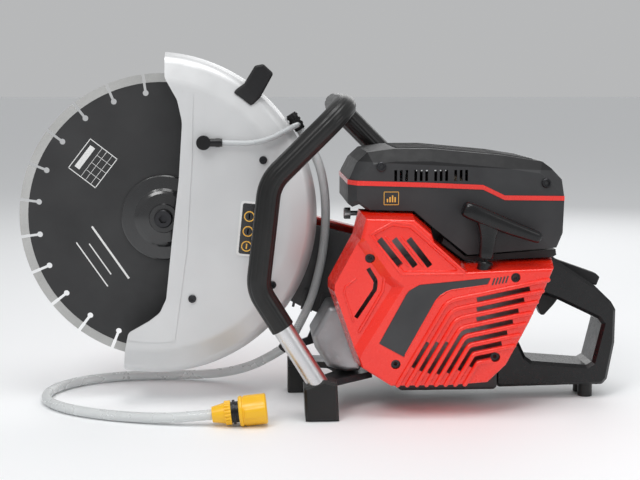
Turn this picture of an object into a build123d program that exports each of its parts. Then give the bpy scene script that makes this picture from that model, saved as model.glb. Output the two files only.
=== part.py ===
"""Hand-held petrol power cutter: a 350 mm diamond blade on a belt-driven arm, a tilting wet guard,
a two-stroke engine with a recoil starter, and front and rear handles.

Frame: millimetres, +Z up, ground at Z = 0. The blade lies in the plane Y = 0, the blade end is at -X
and the rear handle at +X. The starter side faces -Y and the belt side faces +Y.
"""
import math
import os

from build123d import *

os.makedirs("parts", exist_ok=True)

# ---------------------------------------------------------------- driving dimensions
blade_r = 175.0            # diamond blade, 350 mm across
core_r = 164.5             # steel core under the segments
core_t = 2.6
segment_t = 3.6
segment_count = 24
bore_r = 12.7              # 25.4 mm arbor hole
gullet_r = 152.5           # centre of the round end of each gullet
gullet_hole_r = 3.5
gullet_w = 3.2

axle_x, axle_z = -191.0, 227.5      # blade axle
crank_x, crank_z = 102.0, 143.0     # crankshaft and clutch
shaft_r = 10.0
shaft_gap = 0.05                    # radial running clearance of shafts in their bearings
bearing_r = 21.0
bearing_t = 12.0

guard_x, guard_z = -200.0, 233.0    # centre of the guard's rim, ahead of and above the axle
guard_r = 195.0
guard_face_y = -45.0                # outside of the guard's near wall
guard_back_y = 24.0
guard_t = 2.5
hub_r = 30.0                        # boss of the arm that the guard turns on

arm_y0, arm_y1 = 30.0, 44.0         # cutting arm casting
belt_y0, belt_y1 = 48.0, 58.0       # drive belt
cover_y1 = 68.0                     # outside of the belt cover
spindle_pulley_r = 34.0
drive_pulley_r = 20.4
belt_t = 4.0
belt_gap = 0.3

face_y = -112.0                     # outside of the starter cover
rim_y = -60.0                       # joint between the starter cover and the crankcase
wall = 2.5

leg_y = 104.0                       # both legs of the front handle tube
tube_r = 12.0
grip_r = 14.0

top_y = 80.0                        # half width of the top cover

hose_r = 6.0
braid_r = 5.5
branch_r = 3.3
rope_r = 2.0
pull_tilt = math.radians(12)        # lean of the starter rope from upright


# ---------------------------------------------------------------- planes and small helpers
def side(y):
    """Plane parallel to the blade: local x is X, local y is Z, extrusions come towards -Y."""
    return Plane(origin=(0, y, 0), x_dir=(1, 0, 0), z_dir=(0, -1, 0))


def turning(x, z):
    """Plane through a shaft line along Y: local x is the radius, local y is Y."""
    return Plane(origin=(x, 0, z), x_dir=(1, 0, 0), z_dir=(0, 0, 1))


def shaft_axis(x, z):
    return Axis((x, 0, z), (0, 1, 0))


def turned(x, z, profile):
    """A body of revolution about a shaft line along Y, from (radius, Y) points."""
    with BuildPart() as body:
        with BuildSketch(turning(x, z)):
            with BuildLine():
                Polyline(*profile, close=True)
            make_face()
        revolve(axis=shaft_axis(x, z))
    return body


def ring_profile(r_in, r_out, y0, y1):
    return [(r_in, y0), (r_out, y0), (r_out, y1), (r_in, y1)]


def bend_radii(points):
    """For each inner point of a route, 0.45 of its shorter run over the tangent of half the turn."""
    radii = []
    for before, here, after in zip(points, points[1:], points[2:]):
        run_in = Vector(*here) - Vector(*before)
        run_out = Vector(*after) - Vector(*here)
        half_turn = math.radians(run_in.get_angle(run_out)) / 2
        radii.append(0.45 * min(run_in.length, run_out.length) / math.tan(half_turn))
    return radii


def hose_along(points, radius, name):
    """A round hose along straight runs joined by tangent arcs."""
    radii = bend_radii(points)
    print(name, "bend radii", [round(r) for r in radii])
    with BuildPart() as hose:
        with BuildLine() as route:
            FilletPolyline(*points, radius=radii)
        with BuildSketch(Plane(origin=route.line @ 0, z_dir=route.line % 0)):
            Circle(radius)
        sweep()
    length = route.wires()[0].length
    print(name, "length", round(length, 1), "volume ratio",
          round(hose.part.volume / (math.pi * radius ** 2 * length), 4))
    return hose


# ---------------------------------------------------------------- blade
segment_pitch = 360 / segment_count

with BuildPart() as blade_core:
    with BuildSketch(side(core_t / 2)):
        with Locations((axle_x, axle_z)):
            Circle(core_r)
            Circle(bore_r, mode=Mode.SUBTRACT)
            with PolarLocations(gullet_r, segment_count, segment_pitch / 2):
                Circle(gullet_hole_r, mode=Mode.SUBTRACT)
                Rectangle(core_r - gullet_r + 2, gullet_w, align=(Align.MIN, Align.CENTER),
                          mode=Mode.SUBTRACT)
    extrude(amount=core_t)
blade_core.part.label = "blade_core"
export_step(blade_core.part, "parts/blade_core.step")

with BuildPart() as blade_segments:
    with BuildSketch(side(segment_t / 2)):
        with Locations((axle_x, axle_z)):
            Circle(blade_r)
            Circle(core_r, mode=Mode.SUBTRACT)
            with PolarLocations(core_r - 2, segment_count, segment_pitch / 2):
                Rectangle(blade_r - core_r + 5, gullet_w + 0.8, align=(Align.MIN, Align.CENTER),
                          mode=Mode.SUBTRACT)
    extrude(amount=segment_t)
blade_segments.part.label = "blade_segments"
export_step(blade_segments.part, "parts/blade_segments.step")

# ---------------------------------------------------------------- spindle and flanges
flange_r = 52.0
bolt_r = 5.0
outer_flange = turned(axle_x, axle_z, [
    (bolt_r + 0.1, -core_t / 2), (flange_r, -core_t / 2), (flange_r, -4.2), (flange_r - 1.5, -5.2),
    (36, -5.6), (33, -7.5), (30, -9), (18, -11), (17, -13), (bolt_r + 0.1, -13)])
outer_flange.part.label = "outer_flange"
export_step(outer_flange.part, "parts/outer_flange.step")

inner_flange = turned(axle_x, axle_z, [
    (shaft_r, core_t / 2), (flange_r, core_t / 2), (flange_r, 4.2), (36, 6), (22, 9), (shaft_r, 9)])
inner_flange.part.label = "inner_flange"
export_step(inner_flange.part, "parts/inner_flange.step")

arbor_bush = turned(axle_x, axle_z, ring_profile(bolt_r + 0.1, bore_r, -core_t / 2, core_t / 2))
arbor_bush.part.label = "arbor_bush"
export_step(arbor_bush.part, "parts/arbor_bush.step")

with BuildPart() as blade_bolt:
    with BuildSketch(side(-13)):
        with Locations((axle_x, axle_z)):
            Circle(11)
    extrude(amount=8)
    chamfer(blade_bolt.edges().group_by(Axis.Y)[0], 1.2)
    with BuildSketch(side(-21)):
        with Locations((axle_x, axle_z)):
            RegularPolygon(5.5, 6)
    extrude(amount=-6, mode=Mode.SUBTRACT)
    with BuildSketch(side(-13)):
        with Locations((axle_x, axle_z)):
            Circle(bolt_r)
    extrude(amount=-39)
blade_bolt.part.label = "blade_bolt"
export_step(blade_bolt.part, "parts/blade_bolt.step")

spindle_shaft = turned(axle_x, axle_z, [
    (bolt_r, core_t / 2), (shaft_r, core_t / 2), (shaft_r, belt_y1 + 2), (0, belt_y1 + 2),
    (0, 28), (bolt_r, 28)])
spindle_shaft.part.label = "spindle_shaft"
export_step(spindle_shaft.part, "parts/spindle_shaft.step")

spindle_pulley = turned(axle_x, axle_z, [
    (shaft_r, belt_y0 - 3), (spindle_pulley_r + 3, belt_y0 - 3), (spindle_pulley_r + 3, belt_y0 - 1),
    (spindle_pulley_r, belt_y0 - 0.5), (spindle_pulley_r, belt_y1 + 0.5),
    (spindle_pulley_r + 3, belt_y1 + 1), (spindle_pulley_r + 3, belt_y1 + 2), (shaft_r, belt_y1 + 2)])
spindle_pulley.part.label = "spindle_pulley"
export_step(spindle_pulley.part, "parts/spindle_pulley.step")

# ---------------------------------------------------------------- cutting arm, belt and its covers
arm_outline = [
    (axle_x + 12, axle_z + 38), (-10, 214), (70, 193), (128, 178), (150, 150), (140, 104),
    (96, 74), (40, 84), (6, 98), (-24, 110), (-110, 158), (axle_x - 18, axle_z - 36)]

with BuildPart() as cutting_arm:
    with BuildSketch(side(arm_y1)) as arm_sketch:
        with BuildLine():
            Polyline(*arm_outline, close=True)
        make_face()
        with Locations((axle_x, axle_z)):
            Circle(40)
        fillet(arm_sketch.vertices().filter_by(lambda v: v.X > -120), 9)
    extrude(amount=arm_y1 - arm_y0)
    with BuildSketch(side(arm_y0)):
        with Locations((axle_x, axle_z)):
            Circle(hub_r)
    extrude(amount=arm_y0 - 14)
    # stiffening ribs under the lower edge, on the blade side
    with BuildSketch(side(arm_y0)):
        with Locations(*[(-30 + 11 * rib, 122 - 3.2 * rib) for rib in range(7)]):
            Rectangle(3.2, 26, rotation=-12)
    extrude(amount=3)
    with BuildSketch(side(arm_y1)):
        with Locations((axle_x, axle_z)):
            Circle(bearing_r)
        with Locations((crank_x, crank_z)):
            Circle(22)
    extrude(amount=40, mode=Mode.SUBTRACT)
cutting_arm.part.label = "cutting_arm"
export_step(cutting_arm.part, "parts/cutting_arm.step")


def belt_loop(r_axle, r_crank, grow=0.0):
    """Sketch of the closed shape round both pulleys."""
    with BuildSketch(mode=Mode.PRIVATE) as loop:
        with Locations((axle_x, axle_z)):
            Circle(r_axle + grow)
        with Locations((crank_x, crank_z)):
            Circle(r_crank + grow)
        make_hull()
    return loop.sketch


with BuildPart() as drive_belt:
    with BuildSketch(side(belt_y1)):
        add(belt_loop(spindle_pulley_r, drive_pulley_r, belt_gap + belt_t))
        add(belt_loop(spindle_pulley_r, drive_pulley_r, belt_gap), mode=Mode.SUBTRACT)
    extrude(amount=belt_y1 - belt_y0)
drive_belt.part.label = "drive_belt"
export_step(drive_belt.part, "parts/drive_belt.step")

# the cover is open towards the arm; its outline follows the belt with room to spare
cover_axle_r, cover_crank_r = 42.0, 50.0
with BuildPart() as belt_cover:
    with BuildSketch(side(cover_y1)):
        add(belt_loop(cover_axle_r, cover_crank_r))
    extrude(amount=cover_y1 - arm_y1 - 0.5)
    fillet(belt_cover.edges().group_by(Axis.Y)[-1], 5)
    with BuildSketch(side(cover_y1 - wall)):
        add(belt_loop(cover_axle_r, cover_crank_r, -wall))
    extrude(amount=cover_y1 - arm_y1, mode=Mode.SUBTRACT)
    with BuildSketch(side(cover_y1 + 1)):
        with Locations((crank_x, crank_z)):
            Circle(43)
    extrude(amount=20, mode=Mode.SUBTRACT)
    # raised panel on the outside
    with BuildSketch(side(cover_y1 + 1.5)):
        add(belt_loop(24, 24))
        with Locations((crank_x, crank_z)):
            Circle(58, mode=Mode.SUBTRACT)
    extrude(amount=3)
belt_cover.part.label = "belt_cover"
export_step(belt_cover.part, "parts/belt_cover.step")

clutch_y1 = 92.0
with BuildPart() as clutch_cover:
    with BuildSketch(side(clutch_y1)):
        with Locations((crank_x, crank_z)):
            Circle(49)
    extrude(amount=clutch_y1 - cover_y1 - 0.5)
    fillet(clutch_cover.edges().group_by(Axis.Y)[-1], 8)
    with BuildSketch(side(clutch_y1 - wall)):
        with Locations((crank_x, crank_z)):
            Circle(42)
    extrude(amount=clutch_y1 - cover_y1, mode=Mode.SUBTRACT)
    with BuildSketch(side(clutch_y1 + 1)):
        with Locations((crank_x, crank_z)):
            with PolarLocations(26, 10):
                SlotOverall(16, 4)
    extrude(amount=10, mode=Mode.SUBTRACT)
clutch_cover.part.label = "clutch_cover"
export_step(clutch_cover.part, "parts/clutch_cover.step")

arm_bolt_places = ((axle_x - 33, axle_z), (axle_x, axle_z - 33), (-120, 240), (38, 122), (10, 206))
with BuildPart() as arm_bolts:
    with BuildSketch(side(cover_y1 + 3)):
        with Locations(*arm_bolt_places):
            Circle(4.5)
    extrude(amount=3)
    with BuildSketch(side(cover_y1 + 3)):
        with Locations(*arm_bolt_places):
            RegularPolygon(2.6, 6)
    extrude(amount=2, mode=Mode.SUBTRACT)
arm_bolts.part.label = "arm_bolts"
export_step(arm_bolts.part, "parts/arm_bolts.step")

with BuildPart() as clutch_drum:
    with BuildSketch(turning(crank_x, crank_z)):
        with BuildLine():
            Polyline((shaft_r - 1 + shaft_gap, belt_y0 - 2), (drive_pulley_r + 3, belt_y0 - 2),
                     (drive_pulley_r + 3, belt_y0 - 1), (drive_pulley_r, belt_y0 - 0.5),
                     (drive_pulley_r, belt_y1 + 0.5), (38, belt_y1 + 2), (38, 84), (35.5, 84),
                     (35.5, 63), (shaft_r - 1 + shaft_gap, 63), close=True)
        make_face()
    revolve(axis=shaft_axis(crank_x, crank_z))
clutch_drum.part.label = "clutch_drum"
export_step(clutch_drum.part, "parts/clutch_drum.step")

with BuildPart() as clutch_shoes:
    with BuildSketch(side(82)):
        with Locations((crank_x, crank_z)):
            Circle(34.6)
            Circle(17, mode=Mode.SUBTRACT)
            with PolarLocations(26, 3):
                Rectangle(22, 5, mode=Mode.SUBTRACT)
            Circle(19)
            Circle(shaft_r - 1, mode=Mode.SUBTRACT)
    extrude(amount=17)
clutch_shoes.part.label = "clutch_shoes"
export_step(clutch_shoes.part, "parts/clutch_shoes.step")

# ---------------------------------------------------------------- guard
# the opening's edge, from the top of the rim down to the bottom; everything ahead of it is open
guard_edge = [
    (-185, 440), (-185, 397), (-170.5, 371), (-165, 345), (-170, 276), (-179, 205), (-187, 134),
    (-195, 117), (-208, 107), (-233, 93), (-238, 70), (-243, 20)]
guard_edge_radii = [14, 20, 40, 60, 60, 14, 14, 14, 8, 8]


def ahead_of_guard():
    """Sketch of everything ahead of the opening's edge."""
    with BuildSketch() as area:
        with BuildLine():
            edge = FilletPolyline(*guard_edge, radius=guard_edge_radii)
            Polyline(edge @ 1, (-430, 20), (-430, 440), edge @ 0)
        make_face()
    return area.sketch


with BuildPart() as guard_shell:
    with BuildSketch(turning(guard_x, guard_z)):
        with BuildLine():
            FilletPolyline((0, guard_face_y + guard_t / 2), (160, guard_face_y + guard_t / 2),
                           (188, -35), (guard_r - guard_t / 2, -20),
                           (guard_r - guard_t / 2, guard_back_y), radius=[30, 14, 14])
        trace(line_width=guard_t)
    revolve(axis=shaft_axis(guard_x, guard_z))
    with BuildSketch(side(40)):
        add(ahead_of_guard())
    extrude(amount=110, mode=Mode.SUBTRACT)
    # raised band along the opening
    with BuildSketch(side(guard_face_y + 0.5)):
        with Locations((guard_x, guard_z)):
            Circle(152)
        with BuildLine():
            Polyline((-151, 400), (-154, 300), (-161.5, 193), (-184, 40), (20, 40), (20, 400),
                     close=True)
        make_face(mode=Mode.SUBTRACT)
        add(ahead_of_guard(), mode=Mode.SUBTRACT)
    extrude(amount=1.7)
guard_shell.part.label = "guard_shell"
export_step(guard_shell.part, "parts/guard_shell.step")

with BuildPart() as guard_back:
    with BuildSketch(side(guard_back_y + guard_t)):
        with Locations((guard_x, guard_z)):
            Circle(guard_r)
        add(ahead_of_guard(), mode=Mode.SUBTRACT)
        with Locations((axle_x, axle_z)):
            Circle(50)
            Circle(hub_r + 0.4, mode=Mode.SUBTRACT)
    extrude(amount=guard_t)
guard_back.part.label = "guard_back"
export_step(guard_back.part, "parts/guard_back.step")

with BuildPart() as guard_grip:
    with BuildSketch(side(-8)) as grip_sketch:
        with BuildLine():
            Polyline((-118, 372), (-92, 390), (-79, 411), (-69, 413), (-57, 402), (-72, 375),
                     (-84, 362), (-104, 360), close=True)
        make_face()
        fillet(grip_sketch.vertices(), 4)
    extrude(amount=34)
    fillet(guard_grip.edges().group_by(Axis.Y)[0] + guard_grip.edges().group_by(Axis.Y)[-1], 3)
    with BuildSketch(turning(guard_x, guard_z)):
        with BuildLine():
            Polyline((0, guard_face_y - 2), (161, guard_face_y - 2), (189, -37), (guard_r + 0.1, -22),
                     (guard_r + 0.1, 20), (0, 20), close=True)
        make_face()
    revolve(axis=shaft_axis(guard_x, guard_z), mode=Mode.SUBTRACT)
guard_grip.part.label = "guard_grip"
export_step(guard_grip.part, "parts/guard_grip.step")

guard_screw_places = ((-156, 134), (-60, 150), (-70, 300))
with BuildPart() as guard_screws:
    with BuildSketch(side(guard_face_y)):
        with Locations(*guard_screw_places):
            Circle(4.8)
    extrude(amount=3)
    chamfer(guard_screws.edges().group_by(Axis.Y)[0], 0.8)
    with BuildSketch(side(guard_face_y - 3)):
        with Locations(*guard_screw_places):
            RegularPolygon(2.6, 6)
    extrude(amount=-2, mode=Mode.SUBTRACT)
guard_screws.part.label = "guard_screws"
export_step(guard_screws.part, "parts/guard_screws.step")

# ---------------------------------------------------------------- water supply on the guard
elbow_x, elbow_z = -140.0, 321.0
tee_angle = math.radians(32)
tee_r = 203.0
tee_x = guard_x + tee_r * math.cos(tee_angle)
tee_z = guard_z + tee_r * math.sin(tee_angle)
tee_down = (math.sin(tee_angle), 0, -math.cos(tee_angle))


with BuildPart() as water_elbows:
    for face, out in ((guard_face_y, -1), (guard_back_y + guard_t, 1)):
        with BuildSketch(Plane(origin=(elbow_x, face, elbow_z), x_dir=(1, 0, 0), z_dir=(0, out, 0))):
            Circle(8.5)
        extrude(amount=11)
        for start_x, barrel_r, barrel_length in ((elbow_x, 4.8, 22), (elbow_x + 14, 5.3, 5)):
            with BuildSketch(Plane(origin=(start_x, face + out * 5.5, elbow_z), x_dir=(0, 1, 0),
                                   z_dir=(1, 0, 0))):
                Circle(barrel_r)
            extrude(amount=barrel_length)
        with BuildSketch(Plane(origin=(elbow_x + 24, face + out * 5.5, elbow_z), x_dir=(0, 1, 0),
                               z_dir=(-1, 0, 0))):
            Circle(branch_r + 0.3)
        extrude(amount=6.5, mode=Mode.SUBTRACT)
water_elbows.part.label = "water_elbows"
export_step(water_elbows.part, "parts/water_elbows.step")

with BuildPart() as water_tee:
    run_plane = Plane(origin=(tee_x - 15 * tee_down[0], 0, tee_z - 15 * tee_down[2]), z_dir=tee_down)
    with BuildSketch(run_plane):
        Circle(6.5)
    extrude(amount=22)
    for collar in (2, 8, 14):
        with BuildSketch(run_plane.offset(collar)):
            Circle(7.6)
        extrude(amount=3)
    with BuildSketch(side(9)):
        with Locations((tee_x, tee_z)):
            Circle(6)
    extrude(amount=24)
    for branch_y in (13, -9):
        with BuildSketch(side(branch_y)):
            with Locations((tee_x, tee_z)):
                Circle(6.8)
        extrude(amount=4)
water_tee.part.label = "water_tee"
export_step(water_tee.part, "parts/water_tee.step")

branch_near_route = [
    (elbow_x + 18, guard_face_y - 5.5, elbow_z), (-104, -51.5, 320.5), (-84, -53, 320), (-62, -51, 325),
    (-44, -43, 334), (-31, -32, 340.5), (tee_x, -16, tee_z)]
branch_far_route = [
    (elbow_x + 18, guard_back_y + guard_t + 5.5, elbow_z), (-104, 32.5, 320.5), (-84, 33.5, 321),
    (-62, 34, 326), (-46, 34, 334), (-31, 30, 343), (tee_x, 14, tee_z)]
with BuildPart() as branch_tubes:
    add(hose_along(branch_near_route, branch_r, "branch tube, near").part)
    add(hose_along(branch_far_route, branch_r, "branch tube, far").part)
branch_tubes.part.label = "branch_tubes"
export_step(branch_tubes.part, "parts/branch_tubes.step")

# ---------------------------------------------------------------- braided supply hose and its union
union_top = (-33.0, 45.0, 66.0)
union_end = (-45.0, 52.0, 50.0)
braid_route = [
    (tee_x + 7.4 * tee_down[0], 0, tee_z + 7.4 * tee_down[2]),
    (tee_x + 29 * tee_down[0], 0, tee_z + 29 * tee_down[2]), (-1, 0, 293), (5, 2, 266),
    (7.5, 5, 238), (7, 8, 209), (4, 9, 181), (-2, 9, 152), (-9.5, 12, 124), (-19, 24, 98), union_top]
braided_hose = hose_along(braid_route, braid_r, "braided_hose")
braided_hose.part.label = "braided_hose"
export_step(braided_hose.part, "parts/braided_hose.step")

union_way = Vector(*union_end) - Vector(*union_top)
with BuildPart() as hose_union:
    union_plane = Plane(origin=union_top, z_dir=union_way)
    with BuildSketch(union_plane):
        Circle(7)
    extrude(amount=union_way.length)
    with BuildSketch(union_plane.offset(union_way.length * 0.3)):
        Circle(9)
    extrude(amount=8)
    # strap up to the underside of the arm
    with BuildSketch(side(48)):
        with BuildLine():
            Polyline((-43, 54), (-40, 61), (-30, 60), (-14, 66), (0, 98), (2, 112), (13, 110), (8, 92),
                     (-6, 58), (-36, 49), close=True)
        make_face()
    extrude(amount=4)
hose_union.part.label = "hose_union"
export_step(hose_union.part, "parts/hose_union.step")

# ---------------------------------------------------------------- free water hose and quick coupling
coupling_tilt = math.radians(6)
coupling_way = Vector(math.cos(coupling_tilt), 0, math.sin(coupling_tilt))
coupling_start = Vector(-131, -125, 13.2)
water_route = [
    union_end, (-68, 62, 33), (-100, 76, 17), (-140, 89, 8), (-186, 97, 6), (-236, 98, 6), (-284, 86, 6),
    (-321, 59, 6), (-341, 21, 6), (-339, -20, 6), (-315, -57, 6), (-274, -86, 6), (-227, -105, 6),
    (-186, -117, 7.5), (-157, -123, 10.5), tuple(coupling_start)]
water_hose = hose_along(water_route, hose_r, "water_hose")
water_hose.part.label = "water_hose"
export_step(water_hose.part, "parts/water_hose.step")


def coupling_plane(along):
    """Plane square to the coupling's axis, so far along it."""
    return Plane(origin=coupling_start + coupling_way * along, z_dir=coupling_way)


nut_length, collar_length, body_length = 22.0, 9.0, 32.0
body_r = 17.6
with BuildPart() as coupling_nut:
    with BuildSketch(coupling_plane(0)):
        Circle(9)
    with BuildSketch(coupling_plane(nut_length)):
        Circle(13.5)
    loft()
    with BuildSketch(coupling_plane(nut_length - 7)):
        with PolarLocations(12, 20):
            Circle(2)
    extrude(amount=7)
    with BuildSketch(coupling_plane(nut_length)):
        Circle(8)
    extrude(amount=-1, mode=Mode.SUBTRACT)
coupling_nut.part.label = "coupling_nut"
export_step(coupling_nut.part, "parts/coupling_nut.step")

with BuildPart() as coupling_collar:
    with BuildSketch(coupling_plane(nut_length)):
        Circle(12)
    extrude(amount=collar_length)
    with BuildSketch(coupling_plane(nut_length + 2)):
        Circle(14)
    extrude(amount=3)
coupling_collar.part.label = "coupling_collar"
export_step(coupling_collar.part, "parts/coupling_collar.step")

with BuildPart() as coupling_body:
    with BuildSketch(coupling_plane(nut_length + collar_length)):
        Circle(body_r)
    extrude(amount=body_length)
    fillet(coupling_body.edges().filter_by(GeomType.CIRCLE), 1.5)
    with BuildSketch(coupling_plane(nut_length + collar_length + body_length)):
        Circle(11)
    extrude(amount=-24, mode=Mode.SUBTRACT)
coupling_body.part.label = "coupling_body"
export_step(coupling_body.part, "parts/coupling_body.step")

# ---------------------------------------------------------------- engine
bore = 25.5
crank_throw = 18.0
rod_length = 66.0
engine_y = -16.0                     # centre of the cylinder
case_r = 52.0
pin_z = crank_z + crank_throw
wrist_z = pin_z + rod_length

cover_outline = [
    (42, 243), (105, 241), (128, 221), (133, 207), (167, 180), (275, 184), (262, 152), (244, 112),
    (217, 60), (193, 37), (148, 34), (75, 34), (38, 58), (6, 150), (6, 160), (35, 214)]


def cover_area(inset=0.0):
    """Sketch of the starter cover's outline at its joint, drawn in by inset."""
    with BuildSketch() as area:
        with BuildLine():
            Polyline(*cover_outline, close=True)
        make_face()
        offset(amount=-inset, kind=Kind.INTERSECTION)
    return area.sketch


with BuildPart() as crankcase:
    with BuildSketch(turning(crank_x, crank_z)):
        with BuildLine():
            Polyline((20, -56), (case_r, -56), (case_r, 22), (20, 22), (20, -1), (42, -1), (42, -31),
                     (20, -31), close=True)
        make_face()
    revolve(axis=shaft_axis(crank_x, crank_z))
    with BuildSketch(side(-56)):
        add(cover_area(1))
        with Locations((crank_x, crank_z)):
            Circle(20, mode=Mode.SUBTRACT)
    extrude(amount=3.8)
    with BuildSketch(Plane.XY.offset(crank_z)):
        with Locations((crank_x, engine_y)):
            Circle(bore)
    extrude(amount=case_r + 1, mode=Mode.SUBTRACT)
    # flange to the arm
    with BuildSketch(side(arm_y0)):
        with Locations((crank_x, crank_z)):
            Circle(40)
            Circle(20, mode=Mode.SUBTRACT)
    extrude(amount=8)
crankcase.part.label = "crankcase"
export_step(crankcase.part, "parts/crankcase.step")

with BuildPart() as cylinder:
    with BuildSketch(Plane.XY.offset(crank_z + case_r + 0.5)):
        with Locations((crank_x, engine_y)):
            Circle(30)
    extrude(amount=64)
    for fin in range(8):
        with BuildSketch(Plane.XY.offset(206 + 7 * fin)):
            with Locations((crank_x, engine_y)):
                RectangleRounded(70, 68, 10)
        extrude(amount=2.2)
    with BuildSketch(Plane.XY.offset(crank_z + case_r)):
        with Locations((crank_x, engine_y)):
            Circle(bore)
    extrude(amount=55, mode=Mode.SUBTRACT)
    with BuildSketch(Plane.XY.offset(240)):
        with Locations((crank_x, engine_y)):
            Circle(5)
    extrude(amount=30, mode=Mode.SUBTRACT)
cylinder.part.label = "cylinder"
export_step(cylinder.part, "parts/cylinder.step")

with BuildPart() as piston:
    with BuildSketch(Plane.XY.offset(wrist_z - 16)):
        with Locations((crank_x, engine_y)):
            Circle(bore - 0.05)
    extrude(amount=35)
    with BuildSketch(Plane.XY.offset(wrist_z - 16)):
        with Locations((crank_x, engine_y)):
            Circle(bore - 4)
    extrude(amount=30, mode=Mode.SUBTRACT)
    with BuildSketch(side(engine_y + 40)):
        with Locations((crank_x, wrist_z)):
            Circle(5)
    extrude(amount=80, mode=Mode.SUBTRACT)
piston.part.label = "piston"
export_step(piston.part, "parts/piston.step")

with BuildPart() as wrist_pin:
    with BuildSketch(side(engine_y + 22)):
        with Locations((crank_x, wrist_z)):
            Circle(4.95)
    extrude(amount=44)
wrist_pin.part.label = "wrist_pin"
export_step(wrist_pin.part, "parts/wrist_pin.step")

with BuildPart() as connecting_rod:
    with BuildSketch(side(engine_y + 3.5)):
        with Locations((crank_x, pin_z)):
            Circle(13)
        with Locations((crank_x, wrist_z)):
            Circle(9)
        with Locations((crank_x, (pin_z + wrist_z) / 2)):
            Rectangle(9, rod_length)
        with Locations((crank_x, pin_z)):
            Circle(8.05, mode=Mode.SUBTRACT)
        with Locations((crank_x, wrist_z)):
            Circle(5, mode=Mode.SUBTRACT)
    extrude(amount=7)
connecting_rod.part.label = "connecting_rod"
export_step(connecting_rod.part, "parts/connecting_rod.step")

with BuildPart() as crankshaft:
    with BuildSketch(side(88)):
        with Locations((crank_x, crank_z)):
            Circle(shaft_r - 1)
    extrude(amount=88 + 3.5)
    with BuildSketch(side(-28.5)):
        with Locations((crank_x, crank_z)):
            Circle(shaft_r - 1)
    extrude(amount=75 - 28.5)
    for web_y in (-3.5, -20.5):
        with BuildSketch(side(web_y)):
            with Locations((crank_x, crank_z)):
                Circle(38)
        extrude(amount=8)
    with BuildSketch(side(-11.5)):
        with Locations((crank_x, pin_z)):
            Circle(8)
    extrude(amount=9)
crankshaft.part.label = "crankshaft"
export_step(crankshaft.part, "parts/crankshaft.step")

with BuildPart() as bearings:
    for shaft, seats in (((axle_x, axle_z, shaft_r + shaft_gap, bearing_r, bearing_t - 1), (15, 32)),
                         ((crank_x, crank_z, shaft_r - 1, 20, bearing_t), (-46, 5))):
        line_x, line_z, inner_r, outer_r, thickness = shaft
        with BuildSketch(turning(line_x, line_z)):
            for seat_y in seats:
                with BuildLine():
                    Polyline(*ring_profile(inner_r, outer_r, seat_y, seat_y + thickness), close=True)
                make_face()
        revolve(axis=shaft_axis(line_x, line_z))
bearings.part.label = "bearings"
export_step(bearings.part, "parts/bearings.step")

with BuildPart() as flywheel:
    with BuildSketch(side(-64)):
        with Locations((crank_x, crank_z)):
            Circle(44)
            Circle(shaft_r - 1, mode=Mode.SUBTRACT)
    extrude(amount=6)
    with BuildSketch(side(-70)):
        with Locations((crank_x, crank_z)):
            with PolarLocations(33, 16):
                Rectangle(20, 2.4, rotation=20)
            Circle(15)
            Circle(shaft_r - 1, mode=Mode.SUBTRACT)
    extrude(amount=5)
flywheel.part.label = "flywheel"
export_step(flywheel.part, "parts/flywheel.step")

with BuildPart() as spark_plug:
    with BuildSketch(Plane.XY.offset(252)):
        with Locations((crank_x, engine_y)):
            Circle(5)
    extrude(amount=10)
    with BuildSketch(Plane.XY.offset(262)):
        with Locations((crank_x, engine_y)):
            RegularPolygon(10, 6)
    extrude(amount=8)
    with BuildSketch(Plane.XY.offset(270)):
        with Locations((crank_x, engine_y)):
            Circle(5.5)
    extrude(amount=20)
spark_plug.part.label = "spark_plug"
export_step(spark_plug.part, "parts/spark_plug.step")

with BuildPart() as muffler:
    with BuildSketch(side(18)) as muffler_sketch:
        with BuildLine():
            Polyline((-13, 88), (8, 124), (47, 124), (47, 45), (30, 43), (6, 50), (-9, 74), close=True)
        make_face()
        fillet(muffler_sketch.vertices(), 5)
    extrude(amount=73)
    fillet(muffler.edges().group_by(Axis.Y)[0] + muffler.edges().group_by(Axis.Y)[-1], 7)
muffler.part.label = "muffler"
export_step(muffler.part, "parts/muffler.step")

with BuildPart() as carburettor:
    with Locations((157, engine_y, 232)):
        Box(26, 36, 34)
    chamfer(carburettor.edges(), 2)
    with BuildSketch(Plane(origin=(144, engine_y, 232), x_dir=(0, 1, 0), z_dir=(1, 0, 0))):
        Circle(11)
    extrude(amount=26, mode=Mode.SUBTRACT)
carburettor.part.label = "carburettor"
export_step(carburettor.part, "parts/carburettor.step")

# ---------------------------------------------------------------- starter cover
recess_area = [
    (91, 158), (43, 80), (30, 40), (-40, 100), (-40, 240), (20, 240), (46, 212), (76, 170)]
vent_frame = [(77, 229), (98, 226), (156, 175), (90, 175), (81, 187), (55, 218)]
vent_slots = [((62, 213), (87, 182)), ((79, 213), (104, 181)), ((96, 213), (121, 181))]
row_slope = math.tan(math.radians(11.5))
leg_lean = math.tan(math.radians(60))
face_depth = abs(face_y) - abs(rim_y)
cover_taper = 7.0
band_points = [(62, 91), (95, 152), (109, 160), (154, 164), (192, 167.5), (188, 158), (143, 151.5),
               (128, 141), (91.5, 74)]


def louvre_route(row):
    """Centre line of one bent louvre: a rising row to the right and a leg down to the left."""
    right_x = 238 - 6.4 * row
    right_z = 154.0 - 12.9 * row
    corner_x = 144 + 5.2 * row
    corner_z = right_z - row_slope * (right_x - corner_x)
    foot_z = 62 - 8 * math.sin(math.pi * row / 6)
    foot_x = corner_x - (corner_z - foot_z) / leg_lean
    return (right_x, right_z), (corner_x, corner_z), (foot_x, foot_z)


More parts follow.
